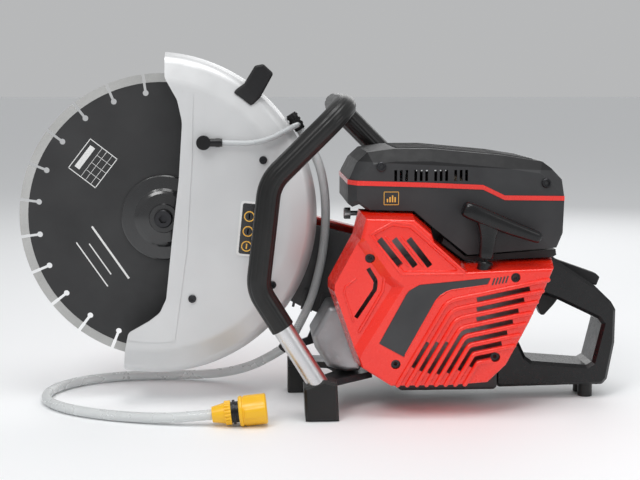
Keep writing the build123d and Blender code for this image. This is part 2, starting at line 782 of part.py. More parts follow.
def louvre_slots():
    """Sketch of the openings between the louvres."""
    with BuildSketch() as slots:
        for row in range(7):
            right, corner, foot = louvre_route(row)
            if row < 3:
                # the outer louvres are open in two stretches, with a solid bend between
                start = (176, right[1] - row_slope * (right[0] - 176))
                leg_top_z = 92
                leg_top = (foot[0] + (leg_top_z - foot[1]) / leg_lean, leg_top_z)
                with BuildLine():
                    Line(start, right)
                trace(line_width=5.4)
                with BuildLine():
                    Line(leg_top, foot)
                trace(line_width=5.4)
            else:
                with BuildLine():
                    FilletPolyline(right, corner, foot, radius=max(22 - 3 * row, 6))
                trace(line_width=5.4)
    return slots.sketch


def louvre_ribs():
    """Sketch of the raised ribs on the outer side of each opening."""
    with BuildSketch() as ribs:
        for row in range(8):
            right, corner, foot = louvre_route(row - 0.5)
            with BuildLine():
                FilletPolyline((right[0] + 4, right[1] + 4 * row_slope), corner,
                               (foot[0] - 4, foot[1] - 4 * leg_lean),
                               radius=max(24 - 3 * row, 6))
            trace(line_width=5.6)
    return ribs.sketch


screw_places = ((52, 190), (221, 167), (82, 66), (199, 73))
post_r = 6.0
post_y = -76.0
pull_way = (math.sin(pull_tilt), 0, math.cos(pull_tilt))
bush_plane = Plane(origin=(184.2, -98, 167.5), x_dir=(0, 1, 0), z_dir=pull_way)
with BuildPart() as starter_cover:
    with BuildSketch(side(rim_y)):
        add(cover_area())
    extrude(amount=face_depth, taper=cover_taper)
    fillet(starter_cover.edges().group_by(Axis.Y)[0], 3.5)
    # sloping edge down to the lower panel at the blade end
    with BuildSketch(side(face_y)):
        with BuildLine():
            Polyline(*recess_area, close=True)
        make_face()
    extrude(amount=-9, taper=48, mode=Mode.SUBTRACT)
    # ribs standing on the face
    with BuildSketch(side(face_y + 1)):
        add(louvre_ribs())
    extrude(amount=3.2, taper=12)
    # inside
    with BuildSketch(side(rim_y + 0.1)):
        add(cover_area(wall))
    extrude(amount=face_depth - 12, taper=cover_taper, mode=Mode.SUBTRACT)
    with BuildSketch(side(face_y + 13)):
        with BuildLine():
            Polyline((90, 232), (100, 232), (150, 172), (258, 174), (205, 60), (188, 44), (90, 42),
                     (58, 50), (50, 80), (95, 154), (97, 166), close=True)
        make_face()
    extrude(amount=10.5, mode=Mode.SUBTRACT)
    # air slots
    with BuildSketch(side(face_y + 20)):
        add(louvre_slots())
    extrude(amount=26, mode=Mode.SUBTRACT)
    with BuildSketch(side(face_y)) as frame_sketch:
        with BuildLine():
            Polyline(*vent_frame, close=True)
        make_face()
        fillet(frame_sketch.vertices(), 2)
    extrude(amount=-2.2, taper=30, mode=Mode.SUBTRACT)
    with BuildSketch(side(face_y + 20)):
        for slot in vent_slots:
            with BuildLine():
                Line(*slot)
            trace(line_width=7)
    extrude(amount=26, mode=Mode.SUBTRACT)
    with BuildSketch(side(face_y + 20)):
        with BuildLine():
            FilletPolyline((50, 178), (59, 163), (58, 153), (36, 120), radius=[7, 5])
        trace(line_width=5)
    extrude(amount=26, mode=Mode.SUBTRACT)
    # screw pockets
    with BuildSketch(side(face_y - 4)):
        with Locations(*screw_places[1:]):
            Circle(5.6)
    extrude(amount=-11, mode=Mode.SUBTRACT)
    with BuildSketch(side(face_y)):
        with Locations(screw_places[0]):
            Circle(5.6)
    extrude(amount=-14, mode=Mode.SUBTRACT)
    # seat of the label band
    with BuildSketch(side(face_y - 0.1)):
        with BuildLine():
            Polyline(*band_points, close=True)
        make_face()
    extrude(amount=-1.1, mode=Mode.SUBTRACT)
    # hole of the rope bush
    with BuildSketch(bush_plane):
        Circle(8)
    extrude(amount=30, both=True, mode=Mode.SUBTRACT)
    # post of the reel
    with BuildSketch(side(post_y)):
        with Locations((crank_x, crank_z)):
            Circle(post_r)
    extrude(amount=post_y - face_y - 2)
starter_cover.part.label = "starter_cover"
export_step(starter_cover.part, "parts/starter_cover.step")

# ---------------------------------------------------------------- recoil starter
recoil_spring = turned(crank_x, crank_z, ring_profile(post_r + 1, 24, -83, -77))
recoil_spring.part.label = "recoil_spring"
export_step(recoil_spring.part, "parts/recoil_spring.step")

reel_y0, reel_y1 = -97.0, -84.0
starter_reel = turned(crank_x, crank_z, [
    (post_r + shaft_gap, reel_y0), (33, reel_y0), (33, reel_y0 + 2), (25, reel_y0 + 3), (25, reel_y1 - 3),
    (33, reel_y1 - 2), (33, reel_y1), (post_r + shaft_gap, reel_y1)])
starter_reel.part.label = "starter_reel"
export_step(starter_reel.part, "parts/starter_reel.step")

with BuildPart() as rope_bush:
    with BuildSketch(bush_plane):
        Circle(7.9)
    extrude(amount=13.5)
    with BuildSketch(bush_plane.offset(13.5)):
        Circle(9.5)
    extrude(amount=3.5)
    chamfer(rope_bush.edges().group_by(Axis.Z)[-1], 1.2)
    with BuildSketch(bush_plane.offset(-1)):
        Circle(rope_r + 0.6)
    extrude(amount=20, mode=Mode.SUBTRACT)
rope_bush.part.label = "rope_bush"
export_step(rope_bush.part, "parts/rope_bush.step")

with BuildPart() as starter_handle:
    with BuildSketch(side(-87)) as handle_sketch:
        with BuildLine():
            Polyline((161, 239), (161.5, 248), (167, 252.5), (178, 250.5), (250, 218.5), (253, 212),
                     (247.5, 206.5), (208, 217), (199, 210), (196.5, 187), (179.5, 190), (181, 224),
                     (172, 233), close=True)
        make_face()
        fillet(handle_sketch.vertices(), 3)
    extrude(amount=21)
    fillet(starter_handle.edges().group_by(Axis.Y)[0] + starter_handle.edges().group_by(Axis.Y)[-1], 4)
    with BuildSketch(bush_plane):
        Circle(rope_r + 0.6)
    extrude(amount=44, mode=Mode.SUBTRACT)
starter_handle.part.label = "starter_handle"
export_step(starter_handle.part, "parts/starter_handle.step")

# ---------------------------------------------------------------- top cover and air filter
top_outline = [
    (29, 250), (29, 277), (39, 298), (52, 310), (82, 314), (127, 314), (213, 306), (260, 298.5),
    (271, 290.5), (284, 277), (284, 255), (283, 215), (276, 197.5), (170, 189.5), (128, 223),
    (106, 242), (37, 244)]
top_inside = [
    (32, 230), (32, 277), (41.5, 297), (53, 307.5), (82, 311.5), (127, 311.5), (212.5, 303.5),
    (258.5, 296), (269, 288.5), (281.5, 276), (281.5, 255), (280.5, 215), (278, 180), (160, 180),
    (120, 215), (100, 230)]


def hood(outline, half_width, roof_cut, front_cut):
    """A block of the side outline with its roof edges and its blade-end corners cut off."""
    with BuildPart() as block:
        with BuildSketch(side(half_width)):
            with BuildLine():
                Polyline(*outline, close=True)
            make_face()
        extrude(amount=2 * half_width)
        faces_y = block.edges().filter_by(lambda e: abs(abs((e @ 0.5).Y) - half_width) < 0.1)
        roof = faces_y.filter_by(lambda e: (e @ 0.5).Z > 294 and (e @ 0.5).X > 45)
        chamfer(roof + faces_y.filter_by(lambda e: (e @ 0.5).X > 262 and 275 < (e @ 0.5).Z < 294),
                roof_cut)
        front = block.edges().filter_by(lambda e: abs(abs((e @ 0.5).Y) - half_width) < 0.1)
        chamfer(front.filter_by(lambda e: (e @ 0.5).X < 35 and 246 < (e @ 0.5).Z), front_cut)
    return block.part


with BuildPart() as top_cover:
    add(hood(top_outline, top_y, 14, 10))
    add(hood(top_inside, top_y - wall, 13, 9.5), mode=Mode.SUBTRACT)
    # air slots in both side walls, four groups of three
    with BuildSketch(side(top_y + 1)):
        with Locations(*[(84 + 23.5 * group + 6.4 * slot, 283.5) for group in range(4) for slot in range(3)]):
            Rectangle(3.4, 13)
    extrude(amount=2 * top_y + 2, mode=Mode.SUBTRACT)
top_cover.part.label = "top_cover"
export_step(top_cover.part, "parts/top_cover.step")

with BuildPart() as filter_base:
    with BuildSketch(side(top_y - 4)):
        with BuildLine():
            Polyline((142, 209), (168, 187), (276, 195), (277, 188), (272, 185.5), (168, 182),
                     (140, 203), close=True)
        make_face()
    extrude(amount=2 * (top_y - 4))
filter_base.part.label = "filter_base"
export_step(filter_base.part, "parts/filter_base.step")

with BuildPart() as air_filter:
    with BuildSketch(Plane.XY.offset(206)):
        with Locations((218, 0)):
            RectangleRounded(88, 120, 16)
    extrude(amount=68)
    with BuildSketch(Plane.XY.offset(205)):
        with Locations(*[(178 + 8 * pleat, 0) for pleat in range(11)]):
            Rectangle(2, 96)
    extrude(amount=70, mode=Mode.SUBTRACT)
air_filter.part.label = "air_filter"
export_step(air_filter.part, "parts/air_filter.step")

# ---------------------------------------------------------------- screws of the starter cover
with BuildPart() as cover_screws:
    for place, head_y in [(screw_places[0], face_y + 14)] + [(p, face_y + 7) for p in screw_places[1:]]:
        with BuildSketch(side(head_y)):
            with Locations(place):
                Circle(5)
                RegularPolygon(2.6, 6, mode=Mode.SUBTRACT)
        extrude(amount=3)
cover_screws.part.label = "cover_screws"
export_step(cover_screws.part, "parts/cover_screws.step")

# ---------------------------------------------------------------- base, tank and feet
tank_x0, tank_x1, tank_y0, tank_y1, tank_z0, tank_z1 = 62.0, 214.0, -55.0, 28.0, 19.0, 78.0
with BuildPart() as fuel_tank:
    with BuildSketch(side(tank_y1)) as tank_sketch:
        with BuildLine():
            Polyline((tank_x0, 44), (tank_x0, 66), (84, tank_z1), (tank_x1, tank_z1),
                     (tank_x1, tank_z0), (96, tank_z0), close=True)
        make_face()
        fillet(tank_sketch.vertices(), 6)
    extrude(amount=tank_y1 - tank_y0)
    fillet(fuel_tank.edges().group_by(Axis.Y)[0] + fuel_tank.edges().group_by(Axis.Y)[-1], 5)
fuel_tank.part.label = "fuel_tank"
export_step(fuel_tank.part, "parts/fuel_tank.step")

cap_x, cap_z = 172.0, 48.0
with BuildPart() as fuel_cap:
    with BuildSketch(side(tank_y1 + 14)):
        with Locations((cap_x, cap_z)):
            Circle(19)
            with PolarLocations(19.6, 12):
                Circle(1.8, mode=Mode.SUBTRACT)
    extrude(amount=13.6)
    with BuildSketch(side(tank_y1 + 17)):
        with Locations((cap_x, cap_z)):
            SlotOverall(30, 7)
    extrude(amount=4)
fuel_cap.part.label = "fuel_cap"
export_step(fuel_cap.part, "parts/fuel_cap.step")

# ---------------------------------------------------------------- front handle
near_end = Vector(-4, -leg_y, 36)
near_bend = Vector(-77.5, -leg_y, 155)
front_bend = Vector(-63, -leg_y, 278)
far_bend = Vector(94, leg_y, 294)
far_leg_top = Vector(106, leg_y, 250)
far_end = Vector(106, leg_y, 62)
handle_route = [near_end, near_bend, front_bend, (24, -leg_y, 364), (24, leg_y, 364), far_bend,
                far_leg_top, far_end]
handle_radii = [42, 48, 34, 34, 50, 60]

with BuildPart() as front_handle_tube:
    with BuildLine() as tube_line:
        FilletPolyline(*handle_route, radius=handle_radii)
    with BuildSketch(Plane(origin=tube_line.line @ 0, z_dir=tube_line.line % 0)):
        Circle(tube_r)
        Circle(tube_r - 2, mode=Mode.SUBTRACT)
    sweep()
front_handle_tube.part.label = "front_handle_tube"
export_step(front_handle_tube.part, "parts/front_handle_tube.step")

grip_route = [near_end + (near_bend - near_end) * 0.613] + handle_route[1:6]
grip_route.append(far_bend + (far_leg_top - far_bend) * 0.68)
with BuildPart() as front_handle_grip:
    with BuildLine() as grip_line:
        FilletPolyline(*grip_route, radius=handle_radii[:5])
    with BuildSketch(Plane(origin=grip_line.line @ 0, z_dir=grip_line.line % 0)):
        Circle(grip_r)
        Circle(tube_r, mode=Mode.SUBTRACT)
    sweep()
front_handle_grip.part.label = "front_handle_grip"
export_step(front_handle_grip.part, "parts/front_handle_grip.step")

# ---------------------------------------------------------------- base frame and feet
frame_z = 34.0
near_foot_y = -84.0
with BuildPart() as base_frame:
    with BuildSketch(Plane.XY.offset(frame_z)) as frame_sketch:
        with BuildLine():
            Polyline((-16, near_foot_y), (14, near_foot_y), (61.5, -44), (61.5, 28.5), (124, 28.5),
                     (124, 46), (-40, 46), (-40, 20), (10, 6), (22, -30), close=True)
        make_face()
        fillet(frame_sketch.vertices().filter_by(lambda v: v.Y > near_foot_y + 1), 4)
    extrude(amount=8)
    # bracket that the far leg of the front handle stands on
    with BuildSketch(side(leg_y + 13)) as bracket_sketch:
        with BuildLine():
            Polyline((88, 38), (88, far_end.Z - 0.5), (124, far_end.Z - 0.5), (124, 38), close=True)
        make_face()
        fillet(bracket_sketch.vertices().group_by(Axis.Y)[-1], 4)
    extrude(amount=leg_y + 13 - 28.5)
base_frame.part.label = "base_frame"
export_step(base_frame.part, "parts/base_frame.step")

with BuildPart() as rubber_feet:
    # the near foot is a boot that the tube's end stands in
    with BuildSketch(side(near_foot_y)):
        with BuildLine():
            Polyline((-23, 0), (-25, 40), (-2, 49), (14, 44), (16, 0), close=True)
        make_face()
    extrude(amount=33)
    chamfer(rubber_feet.edges().filter_by(lambda e: (e @ 0.5).Y < near_foot_y - 32), 3)
    with BuildSketch(Plane(origin=near_end, z_dir=near_bend - near_end)):
        Circle(tube_r)
    extrude(amount=40, mode=Mode.SUBTRACT)
    with BuildSketch(Plane.XY):
        with Locations((-29, 32)):
            RectangleRounded(22, 28, 3)
    extrude(amount=frame_z)
    # pads under the rear handle
    with BuildSketch(Plane.XY):
        with Locations((334, -13), (334, 9)):
            Circle(9)
    extrude(amount=17)
rubber_feet.part.label = "rubber_feet"
export_step(rubber_feet.part, "parts/rubber_feet.step")

# ---------------------------------------------------------------- rear handle and controls
handle_y0, handle_y1 = -30.0, 26.0
rear_outer = [
    (262, 183), (284, 180), (300, 168), (338, 143), (360, 122), (366, 112), (366, 70), (358, 24),
    (352, 17), (312, 17), (222, 15.5), (216, 19), (216, 60), (214, 120), (226, 178)]
rear_inner = [
    (258, 138), (293, 125), (344, 100.5), (349, 94), (338, 46), (331, 42), (262, 48), (254, 54),
    (234, 96), (236, 126)]
trigger_space = [(250, 100), (250, 154), (282, 156), (304, 136), (306, 100)]
lockout_space = [(284, 190), (290, 152), (300, 146), (344, 122), (362, 135), (360, 190)]
with BuildPart() as rear_handle:
    with BuildSketch(side(handle_y1)) as rear_sketch:
        with BuildLine():
            Polyline(*rear_outer, close=True)
        make_face()
        fillet(rear_sketch.vertices(), 5)
        with BuildLine():
            Polyline(*rear_inner, close=True)
        make_face(mode=Mode.SUBTRACT)
    extrude(amount=handle_y1 - handle_y0)
    soft_edges = rear_handle.edges().group_by(Axis.Y)[0] + rear_handle.edges().group_by(Axis.Y)[-1]
    chamfer(soft_edges.filter_by(lambda e: (e @ 0.5).X > 240), 4)
    with BuildSketch(side(handle_y1 - 18)):
        with BuildLine():
            Polyline(*trigger_space, close=True)
        make_face()
        with BuildLine():
            Polyline(*lockout_space, close=True)
        make_face()
    extrude(amount=20, mode=Mode.SUBTRACT)
rear_handle.part.label = "rear_handle"
export_step(rear_handle.part, "parts/rear_handle.step")

with BuildPart() as throttle_trigger:
    with BuildSketch(side(handle_y1 - 20)) as trigger_sketch:
        with BuildLine():
            Polyline((256, 140), (258, 149), (268, 149), (284, 140), (298.5, 124), (292.4, 115.5),
                     (280.7, 102.5), (276.4, 102.5), (270, 118), (262, 134), close=True)
        make_face()
        fillet(trigger_sketch.vertices(), 2.2)
    extrude(amount=16)
    fillet(throttle_trigger.edges().group_by(Axis.Y)[0] + throttle_trigger.edges().group_by(Axis.Y)[-1], 1.5)
throttle_trigger.part.label = "throttle_trigger"
export_step(throttle_trigger.part, "parts/throttle_trigger.step")

with BuildPart() as throttle_lockout:
    with BuildSketch(side(handle_y1 - 20)) as lockout_sketch:
        with BuildLine():
            Polyline((289, 164), (291, 174), (345, 154.5), (350, 150), (346, 139), (300, 157),
                     (294, 158), close=True)
        make_face()
        fillet(lockout_sketch.vertices(), 2)
    extrude(amount=16)
    fillet(throttle_lockout.edges().group_by(Axis.Y)[0] + throttle_lockout.edges().group_by(Axis.Y)[-1], 1.5)
throttle_lockout.part.label = "throttle_lockout"
export_step(throttle_lockout.part, "parts/throttle_lockout.step")

switch_x, switch_z = 262.0, 164.0
with BuildPart() as stop_switch:
    with BuildSketch(Plane(origin=(switch_x, handle_y1 + 0.4, switch_z), x_dir=(1, 0, 0), z_dir=(0, 1, 0))):
        SlotOverall(22, 10)
    extrude(amount=6)
    chamfer(stop_switch.edges().group_by(Axis.Y)[-1], 1.5)
stop_switch.part.label = "stop_switch"
export_step(stop_switch.part, "parts/stop_switch.step")

choke_x, choke_z = 244.0, 188.3
with BuildPart() as choke_knob:
    with BuildSketch(Plane(origin=(choke_x, top_y - 3.6, choke_z), x_dir=(1, 0, 0), z_dir=(0, 1, 0))):
        Circle(3)
    extrude(amount=7)
    with BuildSketch(Plane(origin=(choke_x, top_y + 3.4, choke_z), x_dir=(1, 0, 0), z_dir=(0, 1, 0))):
        Circle(9)
    extrude(amount=9)
    chamfer(choke_knob.edges().group_by(Axis.Y)[-1], 1.5)
choke_knob.part.label = "choke_knob"
export_step(choke_knob.part, "parts/choke_knob.step")

button_z = 233.0
with BuildPart() as decompression_button:
    with BuildSketch(Plane(origin=(62, engine_y, button_z), x_dir=(0, 1, 0), z_dir=(-1, 0, 0))):
        Circle(3)
    extrude(amount=26)
    with BuildSketch(Plane(origin=(36, engine_y, button_z), x_dir=(0, 1, 0), z_dir=(-1, 0, 0))):
        Circle(7)
    extrude(amount=8)
    chamfer(decompression_button.edges().group_by(Axis.X)[0], 1.2)
decompression_button.part.label = "decompression_button"
export_step(decompression_button.part, "parts/decompression_button.step")
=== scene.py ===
import math

import bmesh
import bpy
from mathutils import Matrix, Vector


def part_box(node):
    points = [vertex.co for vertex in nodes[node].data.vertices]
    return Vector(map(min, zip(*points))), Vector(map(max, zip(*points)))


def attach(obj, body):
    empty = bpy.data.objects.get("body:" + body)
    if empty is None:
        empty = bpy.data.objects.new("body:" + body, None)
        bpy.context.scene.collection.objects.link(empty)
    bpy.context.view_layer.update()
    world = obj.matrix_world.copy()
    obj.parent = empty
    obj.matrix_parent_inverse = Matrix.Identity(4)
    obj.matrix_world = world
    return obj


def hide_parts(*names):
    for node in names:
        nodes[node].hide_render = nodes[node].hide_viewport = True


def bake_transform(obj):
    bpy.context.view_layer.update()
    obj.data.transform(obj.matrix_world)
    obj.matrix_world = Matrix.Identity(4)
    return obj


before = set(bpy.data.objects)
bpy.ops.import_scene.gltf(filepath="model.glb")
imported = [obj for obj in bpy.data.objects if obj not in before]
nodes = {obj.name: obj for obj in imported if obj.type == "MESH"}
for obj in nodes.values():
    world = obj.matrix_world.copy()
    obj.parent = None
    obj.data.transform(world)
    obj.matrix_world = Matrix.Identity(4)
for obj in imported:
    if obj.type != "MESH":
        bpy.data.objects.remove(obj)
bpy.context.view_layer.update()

mm = 0.001


# node groups shared by the materials

def newGroup(name, inputs, outputs):
    group = bpy.data.node_groups.new(name, "ShaderNodeTree")
    for label, kind in inputs:
        group.interface.new_socket(name=label, in_out="INPUT", socket_type="NodeSocket" + kind)
    for label, kind in outputs:
        group.interface.new_socket(name=label, in_out="OUTPUT", socket_type="NodeSocket" + kind)
    return group, group.nodes.new("NodeGroupInput"), group.nodes.new("NodeGroupOutput")


def addNoise(tree, vector, scale, detail, factor=1.0):
    noise = tree.nodes.new("ShaderNodeTexNoise")
    noise.inputs["Detail"].default_value = detail
    scaled = tree.nodes.new("ShaderNodeMath")
    scaled.operation = "MULTIPLY"
    scaled.inputs[1].default_value = factor
    tree.links.new(scale, scaled.inputs[0])
    tree.links.new(scaled.outputs[0], noise.inputs["Scale"])
    tree.links.new(vector, noise.inputs["Vector"])
    return noise.outputs["Fac"]


def addRange(tree, value, low, high, toLow=0.0, toHigh=1.0):
    span = tree.nodes.new("ShaderNodeMapRange")
    span.inputs["From Min"].default_value = low
    span.inputs["From Max"].default_value = high
    for socket, end in (("To Min", toLow), ("To Max", toHigh)):
        if isinstance(end, (int, float)):
            span.inputs[socket].default_value = end
        else:
            tree.links.new(end, span.inputs[socket])
    tree.links.new(value, span.inputs["Value"])
    return span.outputs["Result"]


def addMix(tree, factor, low, high):
    mix = tree.nodes.new("ShaderNodeMix")
    mix.data_type = "RGBA"
    tree.links.new(factor, mix.inputs["Factor"])
    for socket, color in ((mix.inputs[6], low), (mix.inputs[7], high)):
        if isinstance(color, tuple):
            socket.default_value = (*color, 1)
        else:
            tree.links.new(color, socket)
    return mix.outputs[2]


def addMath(tree, operation, first, second):
    step = tree.nodes.new("ShaderNodeMath")
    step.operation = operation
    for socket, value in ((step.inputs[0], first), (step.inputs[1], second)):
        if isinstance(value, (int, float)):
            socket.default_value = value
        else:
            tree.links.new(value, socket)
    return step.outputs[0]


def makeMouldGroup():
    # fine moulded grain, with slow changes of tint and gloss over the part
    group, given, made = newGroup("mouldedSurface", (
        ("Vector", "Vector"), ("Grain Scale", "Float"),
        ("Tint Low", "Color"), ("Tint High", "Color"),
        ("Roughness Low", "Float"), ("Roughness High", "Float")), (
        ("Color", "Color"), ("Roughness", "Float"), ("Height", "Float")))
    vector, scale = given.outputs["Vector"], given.outputs["Grain Scale"]
    slow = addRange(group, addNoise(group, vector, scale, 3, 0.012), 0.3, 0.7)
    middle = addNoise(group, vector, scale, 4, 0.07)
    fine = addNoise(group, vector, scale, 2)
    group.links.new(addMix(group, slow, given.outputs["Tint Low"], given.outputs["Tint High"]),
                    made.inputs["Color"])
    group.links.new(addRange(group, middle, 0.32, 0.68, given.outputs["Roughness Low"],
                             given.outputs["Roughness High"]), made.inputs["Roughness"])
    group.links.new(fine, made.inputs["Height"])
    return group


def makeScratchGroup():
    # hair-fine scratches that run along one axis, broken up by a slower noise
    group, given, made = newGroup("fineScratches", (
        ("Vector", "Vector"), ("Stretch", "Vector"), ("Scale", "Float")), (
        ("Mask", "Float"), ("Height", "Float")))
    vector, scale = given.outputs["Vector"], given.outputs["Scale"]
    stretch = group.nodes.new("ShaderNodeVectorMath")
    stretch.operation = "MULTIPLY"
    group.links.new(vector, stretch.inputs[0])
    group.links.new(given.outputs["Stretch"], stretch.inputs[1])
    lines = addNoise(group, stretch.outputs[0], scale, 3)
    patches = addRange(group, addNoise(group, vector, scale, 2, 0.05), 0.4, 0.65)
    mask = addMath(group, "MULTIPLY", addRange(group, lines, 0.56, 0.72), patches)
    group.links.new(mask, made.inputs["Mask"])
    group.links.new(lines, made.inputs["Height"])
    return group


def makeDustGroup():
    # thin dust in patches and fine specks
    group, given, made = newGroup("settledDust", (
        ("Vector", "Vector"), ("Scale", "Float"), ("Amount", "Float")), (
        ("Mask", "Float"),))
    vector, scale = given.outputs["Vector"], given.outputs["Scale"]
    patches = addRange(group, addNoise(group, vector, scale, 5), 0.45, 0.8)
    specks = addRange(group, addNoise(group, vector, scale, 2, 14), 0.6, 0.75)
    both = addMath(group, "ADD", addMath(group, "MULTIPLY", patches, 0.6),
                   addMath(group, "MULTIPLY", specks, 0.4))
    group.links.new(addMath(group, "MULTIPLY", both, given.outputs["Amount"]), made.inputs["Mask"])
    return group


mouldGroup = makeMouldGroup()
scratchGroup = makeScratchGroup()
dustGroup = makeDustGroup()
print("shared node groups ready")


# materials

class Finish:
    # one material under construction: its tree, shader and object coordinates

    def __init__(self, name):
        self.material = bpy.data.materials.new(name)
        self.material.use_nodes = True
        self.tree = self.material.node_tree
        self.shader = self.tree.nodes["Principled BSDF"]
        self.coords = self.tree.nodes.new("ShaderNodeTexCoord")
        self.place = self.coords.outputs["Object"]

    def addGroup(self, group, values):
        node = self.tree.nodes.new("ShaderNodeGroup")
        node.node_tree = group
        self.tree.links.new(self.place, node.inputs["Vector"])
        for label, value in values.items():
            node.inputs[label].default_value = value
        return node.outputs

    def mould(self, low, high, rough, grain):
        self.color, self.rough, self.height = self.addGroup(mouldGroup, {
            "Grain Scale": grain, "Tint Low": (*low, 1), "Tint High": (*high, 1),
            "Roughness Low": rough[0], "Roughness High": rough[1]})

    def dust(self, amount):
        given = self.addGroup(dustGroup, {"Scale": 18, "Amount": amount})
        self.color = addMix(self.tree, given["Mask"], self.color, (0.5, 0.48, 0.45))

    def scratches(self, stretch, scale, amount, tint):
        given = self.addGroup(scratchGroup, {"Stretch": stretch, "Scale": scale})
        mask = addMath(self.tree, "MULTIPLY", given["Mask"], amount)
        self.color = addMix(self.tree, mask, self.color, tint)
        self.height = addMath(self.tree, "ADD", self.height, given["Height"])

    def finish(self, depth, metallic=0.0, coat=0.0, coatRough=0.1, strength=0.5, shine=0.5):
        links = self.tree.links
        bump = self.tree.nodes.new("ShaderNodeBump")
        bump.inputs["Distance"].default_value = depth
        bump.inputs["Strength"].default_value = strength
        links.new(self.height, bump.inputs["Height"])
        links.new(bump.outputs["Normal"], self.shader.inputs["Normal"])
        links.new(self.color, self.shader.inputs["Base Color"])
        links.new(self.rough, self.shader.inputs["Roughness"])
        for label, value in (("Metallic", metallic), ("Coat Weight", coat), ("Coat Roughness", coatRough),
                             ("Specular IOR Level", shine)):
            self.shader.inputs[label].default_value = value
        return self.material


def mouldedFinish(name, low, high, rough, grain, depth, dust=0.0, **shader):
    finish = Finish(name)
    finish.mould(low, high, rough, grain)
    if dust:
        finish.dust(dust)
    return finish.finish(depth, **shader)


def metalFinish(name, low, high, rough, grain, depth, stretch, scratchScale, scratch, **shader):
    finish = Finish(name)
    finish.mould(low, high, rough, grain)
    finish.scratches(stretch, scratchScale, scratch, tuple(min(1, 1.6 * part + 0.05) for part in high))
    return finish.finish(depth, metallic=1.0, **shader)


redShell = mouldedFinish("redShell", (0.86, 0.014, 0.003), (0.94, 0.022, 0.005), (0.22, 0.32), 1500, 0.00004,
                         dust=0.01, coat=0.6, coatRough=0.05, strength=0.25)
handleBlack = mouldedFinish("handleBlack", (0.0025, 0.0025, 0.003), (0.006, 0.006, 0.007), (0.24, 0.34), 1700,
                            0.00006, dust=0.015, coat=0.2, coatRough=0.14, shine=0.3)
grainBlack = mouldedFinish("grainBlack", (0.009, 0.009, 0.01), (0.018, 0.018, 0.019), (0.4, 0.54), 1500,
                           0.00014, dust=0.02, shine=0.3)
rubberBlack = mouldedFinish("rubberBlack", (0.005, 0.005, 0.005), (0.011, 0.011, 0.011), (0.28, 0.42), 1100,
                            0.00008, dust=0.015, coat=0.1, coatRough=0.2, shine=0.35)
guardPaint = mouldedFinish("guardPaint", (0.6, 0.605, 0.61), (0.68, 0.685, 0.69), (0.3, 0.42), 700,
                           0.00005, dust=0.06, metallic=0.3, coat=0.3, coatRough=0.22, strength=0.3)
armPaint = mouldedFinish("armPaint", (0.06, 0.06, 0.063), (0.09, 0.09, 0.094), (0.36, 0.52), 900, 0.0002,
                         dust=0.08)
yellowShell = mouldedFinish("yellowShell", (0.86, 0.46, 0.004), (0.95, 0.55, 0.01), (0.28, 0.4), 1400,
                            0.00008, dust=0.03, coat=0.2, coatRough=0.2)
tankPlastic = mouldedFinish("tankPlastic", (0.016, 0.016, 0.017), (0.026, 0.026, 0.027), (0.4, 0.52), 900,
                            0.00015, dust=0.04)
beltRubber = mouldedFinish("beltRubber", (0.012, 0.012, 0.012), (0.03, 0.03, 0.03), (0.6, 0.8), 800, 0.0002)
filterPaper = mouldedFinish("filterPaper", (0.62, 0.55, 0.4), (0.72, 0.66, 0.52), (0.8, 0.95), 1800, 0.0003)
labelBlack = mouldedFinish("labelBlack", (0.014, 0.014, 0.015), (0.02, 0.02, 0.021), (0.24, 0.34), 2200,
                           0.00002, coat=0.4, coatRough=0.1)
labelGrey = mouldedFinish("labelGrey", (0.03, 0.031, 0.033), (0.042, 0.043, 0.045), (0.36, 0.46), 2200,
                          0.00004)
labelWhite = mouldedFinish("labelWhite", (0.72, 0.72, 0.71), (0.8, 0.8, 0.79), (0.4, 0.55), 1800, 0.00003)
labelGold = mouldedFinish("labelGold", (0.75, 0.4, 0.06), (0.85, 0.5, 0.09), (0.35, 0.45), 1800, 0.00003)
stripeRed = mouldedFinish("stripeRed", (0.76, 0.02, 0.012), (0.85, 0.03, 0.02), (0.22, 0.32), 1600, 0.00003,
                          coat=0.6, coatRough=0.08)
turnedSteel = metalFinish("turnedSteel", (0.42, 0.42, 0.43), (0.56, 0.56, 0.57), (0.22, 0.38), 900, 0.00006,
                          (1, 12, 1), 240, 0.35, strength=0.4)
tubeMetal = metalFinish("tubeMetal", (0.62, 0.62, 0.63), (0.72, 0.72, 0.73), (0.26, 0.38), 1000, 0.00005,
                        (4, 4, 1), 220, 0.25, strength=0.35)
castMetal = metalFinish("castMetal", (0.3, 0.3, 0.31), (0.48, 0.48, 0.49), (0.38, 0.6), 420, 0.00035,
                        (1, 1, 1), 90, 0.25, strength=0.6)
blackSteel = metalFinish("blackSteel", (0.03, 0.03, 0.032), (0.06, 0.06, 0.064), (0.28, 0.42), 900, 0.00006,
                         (6, 1, 6), 160, 0.3, strength=0.4)


def makeFlangeFinish(values):
    # glossy black lacquer over lathe marks, which run in rings about the axle
    finish = Finish("flangeBlack")
    finish.mould(values["low"], values["high"], values["rough"], 1200)
    centred = finish.tree.nodes.new("ShaderNodeMapping")
    centred.inputs["Location"].default_value = (-axle.x, 0, -axle.z)
    finish.tree.links.new(finish.place, centred.inputs["Vector"])
    rings = finish.tree.nodes.new("ShaderNodeTexWave")
    rings.wave_type = "RINGS"
    rings.rings_direction = "Y"
    rings.inputs["Scale"].default_value = values["rings"]
    rings.inputs["Distortion"].default_value = 0.6
    finish.tree.links.new(centred.outputs["Vector"], rings.inputs["Vector"])
    finish.height = addMath(finish.tree, "ADD", addMath(finish.tree, "MULTIPLY", finish.height, 0.4),
                            rings.outputs["Fac"])
    return finish.finish(values["depth"], coat=values["coat"], coatRough=0.12)


